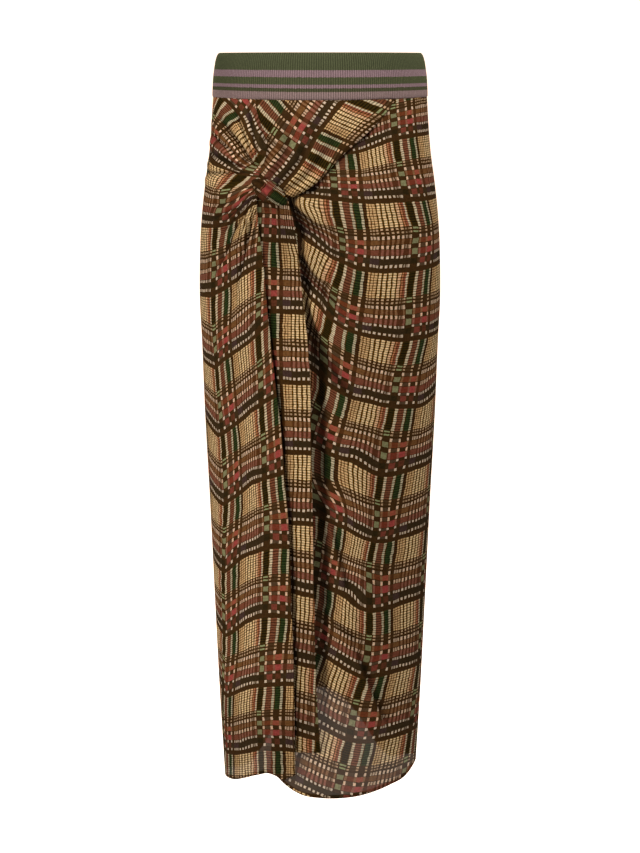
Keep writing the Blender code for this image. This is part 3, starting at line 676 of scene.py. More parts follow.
def math(tree, column, row, operation, first, second=None, clamp=False):
    """A Math node; its inputs are sockets or plain numbers. Returns its output socket."""
    made = node(tree, "ShaderNodeMath", column, row, operation=operation, use_clamp=clamp)
    for socket, value in zip(made.inputs, (first, second)):
        if value is None:
            continue
        if isinstance(value, (int, float)):
            socket.default_value = value
        else:
            tree.links.new(value, socket)
    return made.outputs[0]


def mix_colour(tree, column, row, share, first, second, blend="MIX"):
    """A colour Mix node. share, first and second are sockets or plain values."""
    made = node(tree, "ShaderNodeMix", column, row, data_type="RGBA", blend_type=blend)
    for socket, value in ((made.inputs[0], share), (made.inputs[6], first), (made.inputs[7], second)):
        if isinstance(value, (int, float, tuple)):
            socket.default_value = value
        else:
            tree.links.new(value, socket)
    return made.outputs[2]


def noise(tree, column, row, place, scale, detail):
    """A Noise node; place is a socket. Returns its output socket."""
    made = node(tree, "ShaderNodeTexNoise", column, row)
    made.inputs["Scale"].default_value = scale
    made.inputs["Detail"].default_value = detail
    tree.links.new(place, made.inputs["Vector"])
    return made.outputs[0]


def stretched(tree, column, row, place, scale):
    """A Mapping node that stretches place. Returns its output socket."""
    made = node(tree, "ShaderNodeMapping", column, row)
    made.inputs["Scale"].default_value = scale
    tree.links.new(place, made.inputs["Vector"])
    return made.outputs[0]


def map_range(tree, column, row, value, taken, given):
    """A Map Range node that carries the range taken to the range given. Returns its output socket."""
    made = node(tree, "ShaderNodeMapRange", column, row)
    for name, number in zip(("From Min", "From Max", "To Min", "To Max"), (*taken, *given)):
        made.inputs[name].default_value = number
    tree.links.new(value, made.inputs["Value"])
    return made.outputs[0]


def ramp(tree, column, row, share, stops):
    """A colour ramp with sharp steps, from a list of (place 0 to 1, four numbers)."""
    made = node(tree, "ShaderNodeValToRGB", column, row)
    band = made.color_ramp
    band.interpolation = "CONSTANT"
    band.elements[0].position, band.elements[0].color = stops[0]
    band.elements[1].position, band.elements[1].color = stops[1]
    for place, colour in stops[2:]:
        band.elements.new(place).color = colour
    tree.links.new(share, made.inputs[0])
    return made


def stripe_stops(chart, length):
    """A chart of colours as the stops of a ramp."""
    return [(start / length, (*linear(colour), 1.0)) for start, colour in chart]


def grey_stops(chart, length):
    """A chart of plain numbers as the stops of a ramp."""
    return [(start / length, (value, value, value, 1.0)) for start, value in chart]


def matt_material(name, roughness, specular, shown):
    """A material with a matt shader, and its colour in plain views. Returns it, its tree, the shader."""
    made = bpy.data.materials.new(name)
    made.use_nodes = True
    made.diffuse_color = (*linear(shown), 1.0)
    shader = made.node_tree.nodes["Principled BSDF"]
    shader.inputs["Roughness"].default_value = roughness
    shader.inputs["Sheen Weight"].default_value = 0.0
    shader.inputs["Specular IOR Level"].default_value = specular
    return made, made.node_tree, shader


print("cream in light:", linear(CREAM))

# %% The check as a node group
BRICK_PITCH, BRICK_LINE, BRICK_SHADE = 2.45, 0.47, 0.67  # the fine dark lines across the tan blocks


def make_check_group():
    """Colour of the cloth, and how much light its yarns let through, from the piece's UV map."""
    group = bpy.data.node_groups.new("crepe_check", "ShaderNodeTree")
    group.interface.new_socket("Cloth place", in_out="INPUT", socket_type="NodeSocketVector")
    group.interface.new_socket("Colour", in_out="OUTPUT", socket_type="NodeSocketColor")
    group.interface.new_socket("Clear", in_out="OUTPUT", socket_type="NodeSocketFloat")
    group.interface.new_socket("Height", in_out="OUTPUT", socket_type="NodeSocketFloat")
    start = node(group, "NodeGroupInput", -3, 0)
    end = node(group, "NodeGroupOutput", 14, 0)
    place = node(group, "ShaderNodeSeparateXYZ", -1, 2)
    group.links.new(start.outputs["Cloth place"], place.inputs[0])

    def wobble(row, scale, stretch, amount):
        """Small irregularities of the yarns, in repeats."""
        spread = stretched(group, -2, row, start.outputs["Cloth place"], stretch)
        centred = math(group, 0, row, "SUBTRACT", noise(group, -1, row, spread, scale, 2.0), 0.5)
        return math(group, 1, row, "MULTIPLY", centred, amount)

    warp_wobble = math(group, 3, 1, "ADD", wobble(0, 7.0, (1.0, 1.0, 1.0), 0.034),
                       wobble(1, 34.0, (1.0, 0.6, 1.0), 0.014))
    weft_wobble = math(group, 3, 3, "ADD", wobble(3, 6.0, (1.0, 1.2, 1.0), 0.034),
                       wobble(4, 34.0, (0.6, 1.0, 1.0), 0.014))
    warp_place = math(group, 4, 1, "ADD", place.outputs["X"], warp_wobble)
    weft_place = math(group, 4, 3, "ADD", place.outputs["Y"], weft_wobble)
    warp_place = math(group, 4, 2, "ADD", warp_place, DARK_WARP_MIDDLE / WARP_REPEAT)
    weft_place = math(group, 4, 4, "ADD", weft_place, DARK_WEFT_MIDDLE / WEFT_REPEAT)
    warp_share = math(group, 5, 1, "FRACT", warp_place)
    weft_share = math(group, 5, 3, "FRACT", weft_place)

    warp = ramp(group, 6, 0, warp_share, stripe_stops(WARP, WARP_REPEAT))
    pale = ramp(group, 6, 1, warp_share, grey_stops(PALE_WARPS, WARP_REPEAT))
    rust = ramp(group, 6, 2, warp_share, stripe_stops(RUST_ROW, WARP_REPEAT))
    red = ramp(group, 6, 3, warp_share, stripe_stops(RED_ROW, WARP_REPEAT))
    dark = ramp(group, 6, 4, warp_share, stripe_stops(DARK_ROW, WARP_REPEAT))
    kind = ramp(group, 6, 5, weft_share, [(p / WEFT_REPEAT, v) for p, v in WEFT_KIND])
    dots = ramp(group, 6, 6, weft_share, [(p / WEFT_REPEAT, (*linear(c), a)) for p, c, a in WEFT_DOTS])
    is_rust, is_red, is_dark = node(group, "ShaderNodeSeparateColor", 7, 5).outputs
    group.links.new(kind.outputs["Color"], is_rust.node.inputs[0])

    brick = math(group, 7, 6, "FRACT", math(group, 6, 7, "MULTIPLY", weft_share, WEFT_REPEAT / BRICK_PITCH))
    on_line = math(group, 8, 6, "LESS_THAN", brick, BRICK_LINE)
    brick_shade = math(group, 9, 6, "SUBTRACT", 1.0, math(group, 8, 7, "MULTIPLY", on_line, BRICK_SHADE))
    bricks = mix_colour(group, 8, 0, 1.0, warp.outputs["Color"], brick_shade, "MULTIPLY")
    dot_share = math(group, 8, 1, "MULTIPLY", dots.outputs["Alpha"], pale.outputs["Color"])
    colour = mix_colour(group, 9, 0, dot_share, (*linear(GROUND), 1.0), dots.outputs["Color"])
    colour = mix_colour(group, 10, 0, kind.outputs["Alpha"], colour, bricks)
    colour = mix_colour(group, 10, 1, is_rust, colour, rust.outputs["Color"])
    colour = mix_colour(group, 11, 0, is_red, colour, red.outputs["Color"])
    colour = mix_colour(group, 11, 1, is_dark, colour, dark.outputs["Color"])

    on_dark_warp = math(group, 8, 8, "LESS_THAN", warp_share, DARK_WARP_END / WARP_REPEAT)
    thin_row = ramp(group, 6, 8, weft_share, grey_stops(THIN_WEFTS, WEFT_REPEAT))
    thin_line = math(group, 9, 8, "MULTIPLY", on_dark_warp, thin_row.outputs["Color"])
    colour = mix_colour(group, 12, 1, thin_line, colour, (*linear(THIN_LINE), 1.0))

    slub = noise(group, 9, 3, start.outputs["Cloth place"], 34.0, 3.0)
    uneven = map_range(group, 10, 3, slub, (0.25, 0.75), (0.66, 1.26))
    colour = mix_colour(group, 12, 0, 1.0, colour, uneven, "MULTIPLY")
    bright = node(group, "ShaderNodeRGBToBW", 12, 2)
    group.links.new(colour, bright.inputs[0])
    group.links.new(colour, end.inputs["Colour"])
    group.links.new(math(group, 13, 2, "MULTIPLY", bright.outputs[0], 1.6, clamp=True), end.inputs["Clear"])
    crinkle_place = stretched(group, 10, 4, start.outputs["Cloth place"], (46.0, 9.0, 1.0))
    group.links.new(noise(group, 11, 4, crinkle_place, 1.0, 3.0), end.inputs["Height"])
    return group


check_group = make_check_group()
print("check group nodes:", len(check_group.nodes))

# %% [markdown]
# ## Thin crepe
#
# The real cloth is a thin crinkled crepe. Seen against the white room, its pale yarns glow and its dark
# yarns stay dark. So the shader mixes a matt surface with a translucent one, and the pale yarns are a
# little see-through. A fine bump stands for the crinkles, which are too small for the mesh.

# %% The crepe material
MOST_SOLID = 0.982


def make_crepe(name, shade_gain, translucent_share, clearness, bump_height):
    """The gain is how much of its colour the cloth loses where "hollow" is 1, as painted shade; below 0 it
    paints light.
    """
    made, tree, shader = matt_material(name, 0.85, 0.03, (140, 105, 75))
    shader.location = (600, 0)
    place = node(tree, "ShaderNodeUVMap", -2, 0, uv_map="UVMap")
    check = node(tree, "ShaderNodeGroup", -1, 0, node_tree=check_group)
    tree.links.new(place.outputs[0], check.inputs["Cloth place"])
    # The attribute "hollow" scales the check's colour: painted shade above 0, painted light below 0.
    depth = node(tree, "ShaderNodeAttribute", -1, 2, attribute_name="hollow")
    painted_shade_and_light_factor = math(tree, 0, 2, "SUBTRACT", 1.0, math(tree, -1, 3, "MULTIPLY", depth.outputs["Fac"], shade_gain))
    front = mix_colour(tree, 0, 0, 1.0, check.outputs["Colour"], painted_shade_and_light_factor, "MULTIPLY")
    glow = mix_colour(tree, 0, 1, 1.0, check.outputs["Colour"], (2.6, 2.8, 3.0, 1.0), "MULTIPLY")
    glow_kept = mix_colour(tree, 1, 1, 1.0, glow, (0.92, 0.88, 0.80, 1.0), "DARKEN")
    bump = node(tree, "ShaderNodeBump", 1, 2)
    bump.inputs["Strength"].default_value = 0.6
    bump.inputs["Distance"].default_value = bump_height
    clear = math(tree, 1, 3, "MULTIPLY", check.outputs["Clear"], clearness)
    solid = math(tree, 2, 3, "SUBTRACT", MOST_SOLID, clear)
    through = node(tree, "ShaderNodeBsdfTranslucent", 3, 2)
    mixed = node(tree, "ShaderNodeMixShader", 5, 0)
    mixed.inputs[0].default_value = translucent_share
    tree.links.new(check.outputs["Height"], bump.inputs["Height"])
    tree.links.new(bump.outputs[0], shader.inputs["Normal"])
    tree.links.new(front, shader.inputs["Base Color"])
    tree.links.new(glow_kept, through.inputs["Color"])
    tree.links.new(solid, shader.inputs["Alpha"])
    tree.links.new(shader.outputs[0], mixed.inputs[1])
    tree.links.new(through.outputs[0], mixed.inputs[2])
    output = tree.nodes["Material Output"]
    output.location = (1300, 0)
    tree.links.new(mixed.outputs[0], output.inputs["Surface"])
    return made


crepe = make_crepe("check_crepe", shade_gain=0.72, translucent_share=0.1, clearness=0.02, bump_height=0.0010)
print("crepe material ready")

# %% [markdown]
# ## Laying a sheet
#
# Each piece of cloth starts as a flat grid, so that its cells stay even, and a function then carries each
# vertex to its place on the form. Free edges are turned under by a few millimetres, as a narrow hem is,
# by adding a last strip of cells that doubles back behind the edge.
#
# Each sheet also has an attribute, "hollow", which the crepe material reads as painted shade and light: 1
# takes most of the cloth's colour away, 0 leaves it, and below 0 it is lightened. It is fixed to the cloth.
# Much of it follows from the sheet's own form, so deep folds get painted shade and the crests of fine pleats
# a painted highlight. The rest is set to match the shade in the photograph: painted shade below the swath and
# a little on it, round the knot and on it, beside the tail and on it, and at the left panel's hem, and
# painted light on the hip drape.

# %% The sheet helper
SKIN = 1.0 * MM
TURN_DEPTH = 0.9 * MM
TURN_WIDTH = 5.0 * MM


def turned(count, length, depth=TURN_DEPTH, crowd=1.0):
    """Places from 0 to 1 in count cells, then three that double back. Also how far each lies behind.
    A crowd above 1 makes the first cells smaller."""
    main = np.linspace(0.0, 1.0, count + 1) ** crowd
    back = 1.0 - np.array([0.12, 0.5, 1.0]) * TURN_WIDTH / length
    return np.concatenate([main, back]), np.concatenate([np.zeros(count + 1), np.full(3, depth)])


def plain(count):
    """Places from 0 to 1 in count cells, with no turned edge."""
    return np.linspace(0.0, 1.0, count + 1), np.zeros(count + 1)


def painted_fold_shade_of(relief):
    """Painted shade of a fold, from how deep the cloth lies in it: 0 on the open surface, 1 at the bottom of
    a deep hollow.
    """
    return ease(-relief, 2.0 * MM, 11.0 * MM)


def flat_grid(name, columns, rows):
    """A new flat grid from -1 to 1 both ways, and the places of its vertices."""
    bpy.ops.object.select_all(action="DESELECT")
    bpy.ops.mesh.primitive_grid_add(x_subdivisions=columns, y_subdivisions=rows, size=2.0)
    piece = bpy.context.object
    piece.name = piece.data.name = name
    flat = np.empty(len(piece.data.vertices) * 3)
    piece.data.vertices.foreach_get("co", flat)
    return piece, flat.reshape(-1, 3)


def set_uv(mesh, chart):
    """Gives each face corner the UV place of its vertex."""
    corner = np.empty(len(mesh.loops), int)
    mesh.loops.foreach_get("vertex_index", corner)
    mesh.uv_layers["UVMap"].data.foreach_set("uv", chart[corner].ravel())


def lay_cloth(name, across, down, place, cloth, finish_material):
    """across and down are (places, depths) as turned() gives; place puts them on the form, and cloth
    says where they lie in the flat cloth."""
    columns, rows = len(across[0]) - 1, len(down[0]) - 1
    piece, flat = flat_grid(name, columns, rows)
    mesh = piece.data
    column = np.rint((flat[:, 0] + 1) / 2 * columns).astype(int)
    row = np.rint((1 - flat[:, 1]) / 2 * rows).astype(int)
    behind = across[1][column] + down[1][row]
    angle, height, lift, hollow = place(across[0][column], down[0][row])
    points = on_form(angle, height, lift + SKIN - behind)
    mesh.vertices.foreach_set("co", points.ravel())
    s, t = cloth(round_form(angle, height), height / MM)
    set_uv(mesh, np.column_stack([s / REPEAT_ACROSS, t / REPEAT_ALONG]))
    # The "hollow" attribute holds painted shade, and painted light where it is below 0.
    mesh.attributes.new("hollow", "FLOAT", "POINT").data.foreach_set("value", hollow)
    mesh.materials.append(finish_material)
    mesh.shade_smooth()
    mesh.update()
    print(name, "faces:", len(mesh.polygons), "lowest:", round(float(points[:, 2].min()), 4))
    return piece


def plate_pair(across, along):
    """Cloth place from two plates."""
    return lambda distance, height: (across(np.column_stack([distance, height])),
                                     along(np.column_stack([distance, height])))


# %% [markdown]
# ## Back panel
#
# One wide panel goes round the back from seam to seam. Its side edges lap a little way behind the front
# panels, so no light comes through the seams. Its hem is arched in the middle, where the light comes in
# under the front panels.

# %% Back panel
BACK_HEM = (
    Edge(-132, -966), Edge(-114, -972), Edge(-97, -969), Edge(-83, -952), Edge(-67, -926), Edge(-47, -899),
    Edge(-22, -877), Edge(0, -870), Edge(22, -877), Edge(47, -899), Edge(67, -926), Edge(83, -950),
    Edge(97, -962), Edge(114, -956), Edge(132, -944),
)
SEAM_LAP, SEAM_SINK = 2.5 * MM, 0.8 * MM


def place_back(across_place, down_place):
    """Across runs round the back, from the side seam at +X (0) to the one at -X (1)."""
    height = np.full_like(down_place, BAND_BOTTOM)
    for _ in range(SETTLE_STEPS):
        back = read_table(FORM, "height", "back", height)
        start = np.pi / 2 - SEAM_LAP / back
        angle = start + (2 * np.pi - 2 * start) * across_place
        across = half_width_at(height) * np.sin(angle)
        top = band_bottom(angle) - SEAM_GAP
        hem = read_table(BACK_HEM, "across", "height", across)
        height = top + (hem - top) * down_place
    edge = np.minimum(across_place, 1 - across_place)
    calm = ease(edge, 0.0, 0.1) * ease(top - height, 0.0, 0.04)
    relief = fold_relief(BACK_FOLDS, across, height) * calm
    relief -= SEAM_SINK * ease(0.022 - edge, 0.0, 0.012)
    # The folds' depth gives the back panel its painted shade.
    return angle, height, relief, painted_fold_shade_of(relief)


back_piece = lay_cloth("back_cloth", plain(160), turned(300, 0.93), place_back, back_cloth, crepe)
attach(back_piece, "root")
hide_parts("back_panel")

# %% [markdown]
# ## Right front panel
#
# The wide panel at the viewer's right is gathered into the knot along its top left, so its folds run out
# from there and hang into long soft pleats lower down. Beside the tail it sinks into a deep groove, and
# just below the swath it lies sunk in the swath's shade. Its folds and creases, the groove, the strip
# below the swath and the cloth round the knot also get painted shade.

# %% Right front panel
RIGHT_PANEL_TOP = (
    Edge(-86, -152), Edge(-60, -140), Edge(-20, -118), Edge(5, -98), Edge(30, -78), Edge(52, -54),
    Edge(68, -36), Edge(82, -20), Edge(96, -8),
)
RIGHT_PANEL_HEM = (
    Edge(-80, -922), Edge(-61, -942), Edge(-48, -955), Edge(-27, -968), Edge(0, -973), Edge(27, -974),
    Edge(48, -973), Edge(68, -970), Edge(96, -963), Edge(118, -956), Edge(132, -944),
)
RIGHT_PANEL_EDGE = (
    Side(-960, -68), Side(-900, -66), Side(-700, -64), Side(-500, -68), Side(-300, -80), Side(-200, -86),
    Side(-140, -86),
)
TAIL_RIGHT_EDGE = (
    Side(-910, 1), Side(-833, -4), Side(-666, -8), Side(-502, -11), Side(-342, -16), Side(-289, -22),
    Side(-237, -27), Side(-196, -32), Side(-160, -40),
)
Sunk = namedtuple("Sunk", "across height reach depth")
SWATH_SHADE = (  # the swath's visible lower edge, and how far the panel lies sunk below it
    Sunk(-50, -163, 9, 5.0), Sunk(-38, -159, 9, 5.0), Sunk(-20, -149, 4, 3.0), Sunk(-8, -141, 9, 6.5),
    Sunk(2, -132, 4, 3.0), Sunk(22, -109, 4, 3.0), Sunk(32, -98, 6, 5.0), Sunk(40, -91, 3, 3.0),
    Sunk(52, -80, 5, 4.0), Sunk(60, -72, 9, 7.0), Sunk(72, -60, 4, 4.0), Sunk(84, -47, 2, 1.5),
    Sunk(97, -32, 1, 0.0),
)
SQUARE_TO_EDGE = 0.74  # a drop below the swath's slanted edge, as a distance square to it
GROOVE_TOP_WIDTH, GROOVE_LOW_WIDTH, GROOVE_DEPTH = 6.0 * MM, 12.0 * MM, 9.5 * MM
# Strengths of the painted shade in folds, in the groove beside the tail, and round the knot.
FOLD_SHADE, GROOVE_SHADE, NEAR_KNOT_SHADE = 0.8, 0.55, 0.18


def side_seam_angle(height):
    """Angle of the front's edge at a side seam, half a seam gap short of the side."""
    return np.pi / 2 - 0.5 * SEAM_GAP / read_table(FORM, "height", "front", height)


def place_right(across_place, down_place):
    """Across runs from the hidden edge under the tail (0) to the side seam (1)."""
    height = np.full_like(down_place, BAND_BOTTOM)
    for _ in range(SETTLE_STEPS):
        edge = read_table(RIGHT_PANEL_EDGE, "height", "across", height)
        angle = side_seam_angle(height) * across_place + angle_at(edge, height) * (1 - across_place)
        across = half_width_at(height) * np.sin(angle)
        under_swath = read_table(RIGHT_PANEL_TOP, "across", "height", across)
        top = np.minimum(under_swath, band_bottom(angle) - SEAM_GAP)
        hem = read_table(RIGHT_PANEL_HEM, "across", "height", across)
        height = (height + top + (hem - top) * down_place) / 2
    beyond_tail = across - read_table(TAIL_RIGHT_EDGE, "height", "across", height)
    shows = ease(beyond_tail, -0.028, -0.012)
    calm = shows * ease(1 - across_place, 0.0, 0.1) * ease(top - height, 0.004, 0.03)
    relief = fold_relief(RIGHT_PANEL_FOLDS, across, height)
    crease, shade = crease_relief(RIGHT_PANEL_CREASES, across, height)
    relief += crease
    width = GROOVE_TOP_WIDTH + (GROOVE_LOW_WIDTH - GROOVE_TOP_WIDTH) * ease(-height, 0.30, 0.42)
    groove = np.exp(-((beyond_tail - 0.5 * width) / width) ** 2)
    groove *= ease(-height, 0.15, 0.19) * ease(height, -0.93, -0.80)
    relief -= GROOVE_DEPTH * groove
    relief *= calm
    # Just below the swath's edge the panel is sunk, and the same strip gets painted shade.
    below = SQUARE_TO_EDGE * (read_table(SWATH_SHADE, "across", "height", across) - height)
    sunk = ease(read_table(SWATH_SHADE, "across", "reach", across) - below, 0.0, 0.006)
    sunk *= ease(top - height, 0.0, 0.006)
    relief -= sunk * read_table(SWATH_SHADE, "across", "depth", across)
    # Painted shade: from the folds and creases, and set below the swath, round the knot and in the groove.
    painted_knot_shade = NEAR_KNOT_SHADE * ease(0.100 - np.hypot(across + 0.030, height + 0.200), 0.0, 0.05)
    painted_shade_from_form = np.maximum(FOLD_SHADE * painted_fold_shade_of(relief), shade * calm)
    painted_shade_set = np.maximum.reduce([sunk, painted_knot_shade, GROOVE_SHADE * groove])
    return angle, height, relief, np.maximum(painted_shade_from_form, painted_shade_set)


right_piece = lay_cloth("front_right_cloth", plain(160), turned(400, 0.9), place_right,
                        plate_pair(right_across, right_along), crepe)
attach(right_piece, "root")
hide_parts("front_right_panel")

# %% [markdown]
# ## Left front panel and hip drape
#
# One piece covers the hip at the viewer's left. Above, it is drawn sideways into the knot in two fans of
# pleats, and below it hangs straight, over the edge of the tail. Near the hem the cloth gets a little
# painted shade, and the hip drape painted light. Its folds, creases and pleat valleys get painted shade,
# and the crests of the pleats a painted highlight.

# %% Left front panel
LEFT_PANEL_LIFT, EDGE_CURL = 6.2 * MM, 3.5 * MM
# Painted shade near the hem, and painted light on the hip drape.
HEM_SHADE, DRAPE_LIGHT = 0.3, 0.22
LEFT_PANEL_HEM = (
    Edge(-132, -966), Edge(-117, -962), Edge(-103, -955), Edge(-82, -945), Edge(-68, -940), Edge(-57, -943),
    Edge(-49, -948), Edge(-41, -943), Edge(-33, -939),
)
LEFT_PANEL_EDGE = (
    Side(-945, -32), Side(-819, -33), Side(-769, -34), Side(-692, -36.5), Side(-617, -38.5),
    Side(-528, -44), Side(-461, -49), Side(-408, -55), Side(-323, -63.5), Side(-275, -68),
    Side(-225, -73), Side(-190, -77), Side(-150, -78), Side(-125, -72), Side(-90, -60), Side(-54, -62),
    Side(-28, -66),
)
TAIL_LEFT_EDGE = (
    Side(-910, -48), Side(-700, -50), Side(-550, -54), Side(-400, -64), Side(-290, -74), Side(-240, -78),
    Side(-200, -80), Side(-160, -79),
)


def left_panel_lift(across, height):
    """The left panel rises from the side seam to pass over the tail's edge."""
    tail_edge = read_table(TAIL_LEFT_EDGE, "height", "across", height)
    reach = ease(across, tail_edge - 0.050, tail_edge - 0.016)
    return LEFT_PANEL_LIFT * reach * ease(-height, 0.118, 0.162)


Pleats = namedtuple("Pleats", "x z count depth near full fade_from fade_to first last")
FANS = (  # count is for half a turn; near to fade_to are millimetres from x, z; first, last are half turns
    Pleats(-78, -124, 11.0, 4.5, 6, 24, 60, 110, 0.42, 1.12),
    Pleats(-79, -155, 16.0, 5.0, 2, 8, 34, 95, 1.02, 1.62),
)
PLEAT_LEVEL = 0.64  # the mean of round pleats, so that a fan as a whole neither swells nor sinks
# Painted shade in the pleats' valleys, and a painted highlight on their crests.
VALLEY_SHADE, CREST_LIGHT = 1.2, 0.36


def fan_relief(across, height):
    """Sharp valleys between round pleats, all running to the knot. Also painted shade in the valleys and a
    painted highlight on the crests.
    """
    relief, painted_pleat_shading = np.zeros_like(across), np.zeros_like(across)
    for pleats in FANS:
        off_x, off_z = across - pleats.x * MM, height - pleats.z * MM
        reach = np.hypot(off_x, off_z) / MM
        turn = np.mod(np.arctan2(off_z, off_x), 2 * np.pi) / np.pi
        turn = turn + 0.020 * np.sin(9.0 * turn + 1.0) + 0.008 * np.sin(31.0 * turn)
        swell = np.abs(np.sin(np.pi * pleats.count * turn))
        fade = ease(reach, pleats.near, pleats.full) * (1 - ease(reach, pleats.fade_from, pleats.fade_to))
        fade *= ease(turn, pleats.first, pleats.first + 0.08) * ease(pleats.last - turn, 0.0, 0.08)
        relief += pleats.depth * MM * fade * (swell - PLEAT_LEVEL)
        painted_pleat_shading += fade * ((VALLEY_SHADE + CREST_LIGHT) * (1 - swell) ** 1.5 - CREST_LIGHT)
    return relief, painted_pleat_shading


def place_left(across_place, down_place):
    """Across is 0 at the side seam and 1 at the edge over the tail. Down runs from band to hem."""
    across_place = 1 - across_place
    height = np.full_like(down_place, BAND_BOTTOM - SEAM_GAP)
    for _ in range(SETTLE_STEPS):
        edge = read_table(LEFT_PANEL_EDGE, "height", "across", height)
        angle = -side_seam_angle(height) * across_place + angle_at(edge, height) * (1 - across_place)
        across = half_width_at(height) * np.sin(angle)
        top = band_bottom(angle) - SEAM_GAP
        hem = read_table(LEFT_PANEL_HEM, "across", "height", across)
        height = top + (hem - top) * down_place
    open_edge = 0.4 + 0.6 * ease(across_place, 0.0, 0.12)
    calm = open_edge * ease(1 - across_place, 0.0, 0.1) * ease(top - height, 0.0, 0.03)
    crease, shade = crease_relief(LEFT_PANEL_CREASES, across, height)
    relief = (fold_relief(LEFT_PANEL_FOLDS, across, height) + crease) * calm
    curl = EDGE_CURL * ease(0.09 - across_place, 0.0, 0.09) * ease(-height, 0.2, 0.32)
    pleats, painted_pleat_shading = fan_relief(across, height)
    pleats *= ease(top - height, 0.0, 0.03) * ease(1 - across_place, 0.0, 0.1)
    covered = ease(across, -0.076, -0.068) * ease(height, -0.125, -0.105)
    relief = (relief + pleats) * (1 - covered)
    # Painted shade from folds, creases and pleat valleys, a painted highlight on pleat crests, painted shade
    # near the hem and painted light on the hip drape.
    hollow = np.where(painted_pleat_shading < 0, painted_pleat_shading, np.maximum(painted_fold_shade_of(relief), painted_pleat_shading))
    hollow = np.maximum(hollow, shade * calm)
    hollow += HEM_SHADE * ease(-height, 0.80, 0.90) - DRAPE_LIGHT * ease(height, -0.165, -0.135)
    return angle, height, left_panel_lift(across, height) + relief + curl, hollow


left_piece = lay_cloth("front_left_cloth", turned(124, 0.14), turned(460, 0.92, crowd=1.4), place_left,
                       plate_pair(left_across, left_along), crepe)
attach(left_piece, "root")
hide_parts("front_left_panel")

# %% [markdown]
# ## Swath
#
# A pleated swath comes down from the band to the knot. Its lower edge rolls under and shades the panel
# behind it.

# %% Swath
SWATH_LEFT_EDGE = (
    Stitch(0.0, -83, -31), Stitch(0.18, -79, -48), Stitch(0.33, -74, -63), Stitch(0.5, -67.5, -78),
    Stitch(0.62, -66.5, -90), Stitch(0.85, -71, -112), Stitch(1.0, -78, -130),
)
SWATH_LOWER_EDGE = (
    Stitch(0.0, 97, -31), Stitch(0.15, 84, -46), Stitch(0.3, 61, -71), Stitch(0.45, 39, -91),
    Stitch(0.6, 22, -108), Stitch(0.75, 2, -131), Stitch(0.87, -17, -146), Stitch(1.0, -44, -160),
)
SWATH_PLEATS, SWATH_PLEAT_RISE, SWATH_ROLL = 4, 3.2 * MM, 4.5 * MM
SWATH_LIFT, SWATH_EDGE_RISE, SWATH_LIFT_AT_BAND = 3.2 * MM, 1.6 * MM, 1.9 * MM
# Painted shade: a little all over the swath, and more in the valleys between its pleats.
SWATH_SHADE_LEAST, SWATH_PLEAT_SHADE = 0.07, 0.7


def place_swath(across_place, down_place):
    """Across runs from the edge over the left panel (0) to the lower edge (1), down to the knot."""
    left_x = read_table(SWATH_LEFT_EDGE, "along", "across", down_place)
    left_z = read_table(SWATH_LEFT_EDGE, "along", "height", down_place)
    lower_x = read_table(SWATH_LOWER_EDGE, "along", "across", down_place)
    lower_z = read_table(SWATH_LOWER_EDGE, "along", "height", down_place)
    across = left_x + (lower_x - left_x) * across_place
    height = left_z + (lower_z - left_z) * across_place
    angle = angle_at(across, height)
    below_band = band_bottom(angle) - SEAM_GAP
    height = np.minimum(height, below_band)
    height = np.where(down_place == 0.0, below_band, height)
    lift = SWATH_LIFT + SWATH_EDGE_RISE * ease(1 - across_place, 0.0, 0.3)
    clear_of_band = ease(BAND_BOTTOM - height, 0.002, 0.026)
    lift = SWATH_LIFT_AT_BAND + (lift - SWATH_LIFT_AT_BAND) * clear_of_band
    pleats = 0.5 - 0.5 * np.cos(2 * np.pi * SWATH_PLEATS * across_place)
    relief = SWATH_PLEAT_RISE * pleats * ease(down_place, 0.1, 0.9)
    roll = SWATH_ROLL * ease(across_place, 0.86, 0.97) * ease(down_place, 0.04, 0.25)
    roll *= ease(1 - down_place, 0.0, 0.25)
    # Painted shade in the valleys between the pleats, growing towards the knot.
    painted_pleat_shading = (1 - pleats) ** 1.5 * ease(down_place, 0.0, 0.7)
    return angle, height, lift + relief + roll, SWATH_SHADE_LEAST + SWATH_PLEAT_SHADE * painted_pleat_shading


swath_piece = lay_cloth("swath_cloth", turned(110, 0.1, 3.0 * MM), plain(90), place_swath,
                        plate_pair(swath_across, swath_along), crepe)
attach(swath_piece, "root")
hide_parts("wrap_swath")

# %% [markdown]
# ## Sash tail
#
# The tail is a narrow strip that falls straight from the knot. Its top is pinched into one groove and some
# small gathers beside it. It lies sunk beside the left panel's edge, with painted shade there, and its
# pinched top and low end also get painted shade.

# %% Sash tail
TAIL_TOP, TAIL_END = -160.0 * MM, -907.0 * MM
TAIL_LIFT, TAIL_TOP_RISE, TAIL_SUNK = 4.0 * MM, 1.4 * MM, 1.6 * MM
PINCH_PLACE, PINCH_WIDTH, PINCH_DEPTH = 0.66, 0.05, 1.8 * MM
GATHER_PITCH, GATHER_DEPTH = 0.11, 0.8 * MM
# Painted shade at the tail's pinched top and at its low end.
TAIL_TOP_SHADE, TAIL_END_SHADE = 0.36, 0.16
TAIL_SHADE = (  # how far the tail lies sunk beside the left panel's edge
    Side(-907, 4), Side(-850, 5), Side(-769, 8), Side(-692, 9), Side(-617, 8), Side(-528, 6), Side(-461, 5),
    Side(-408, 5), Side(-323, 3.5), Side(-160, 3),
)


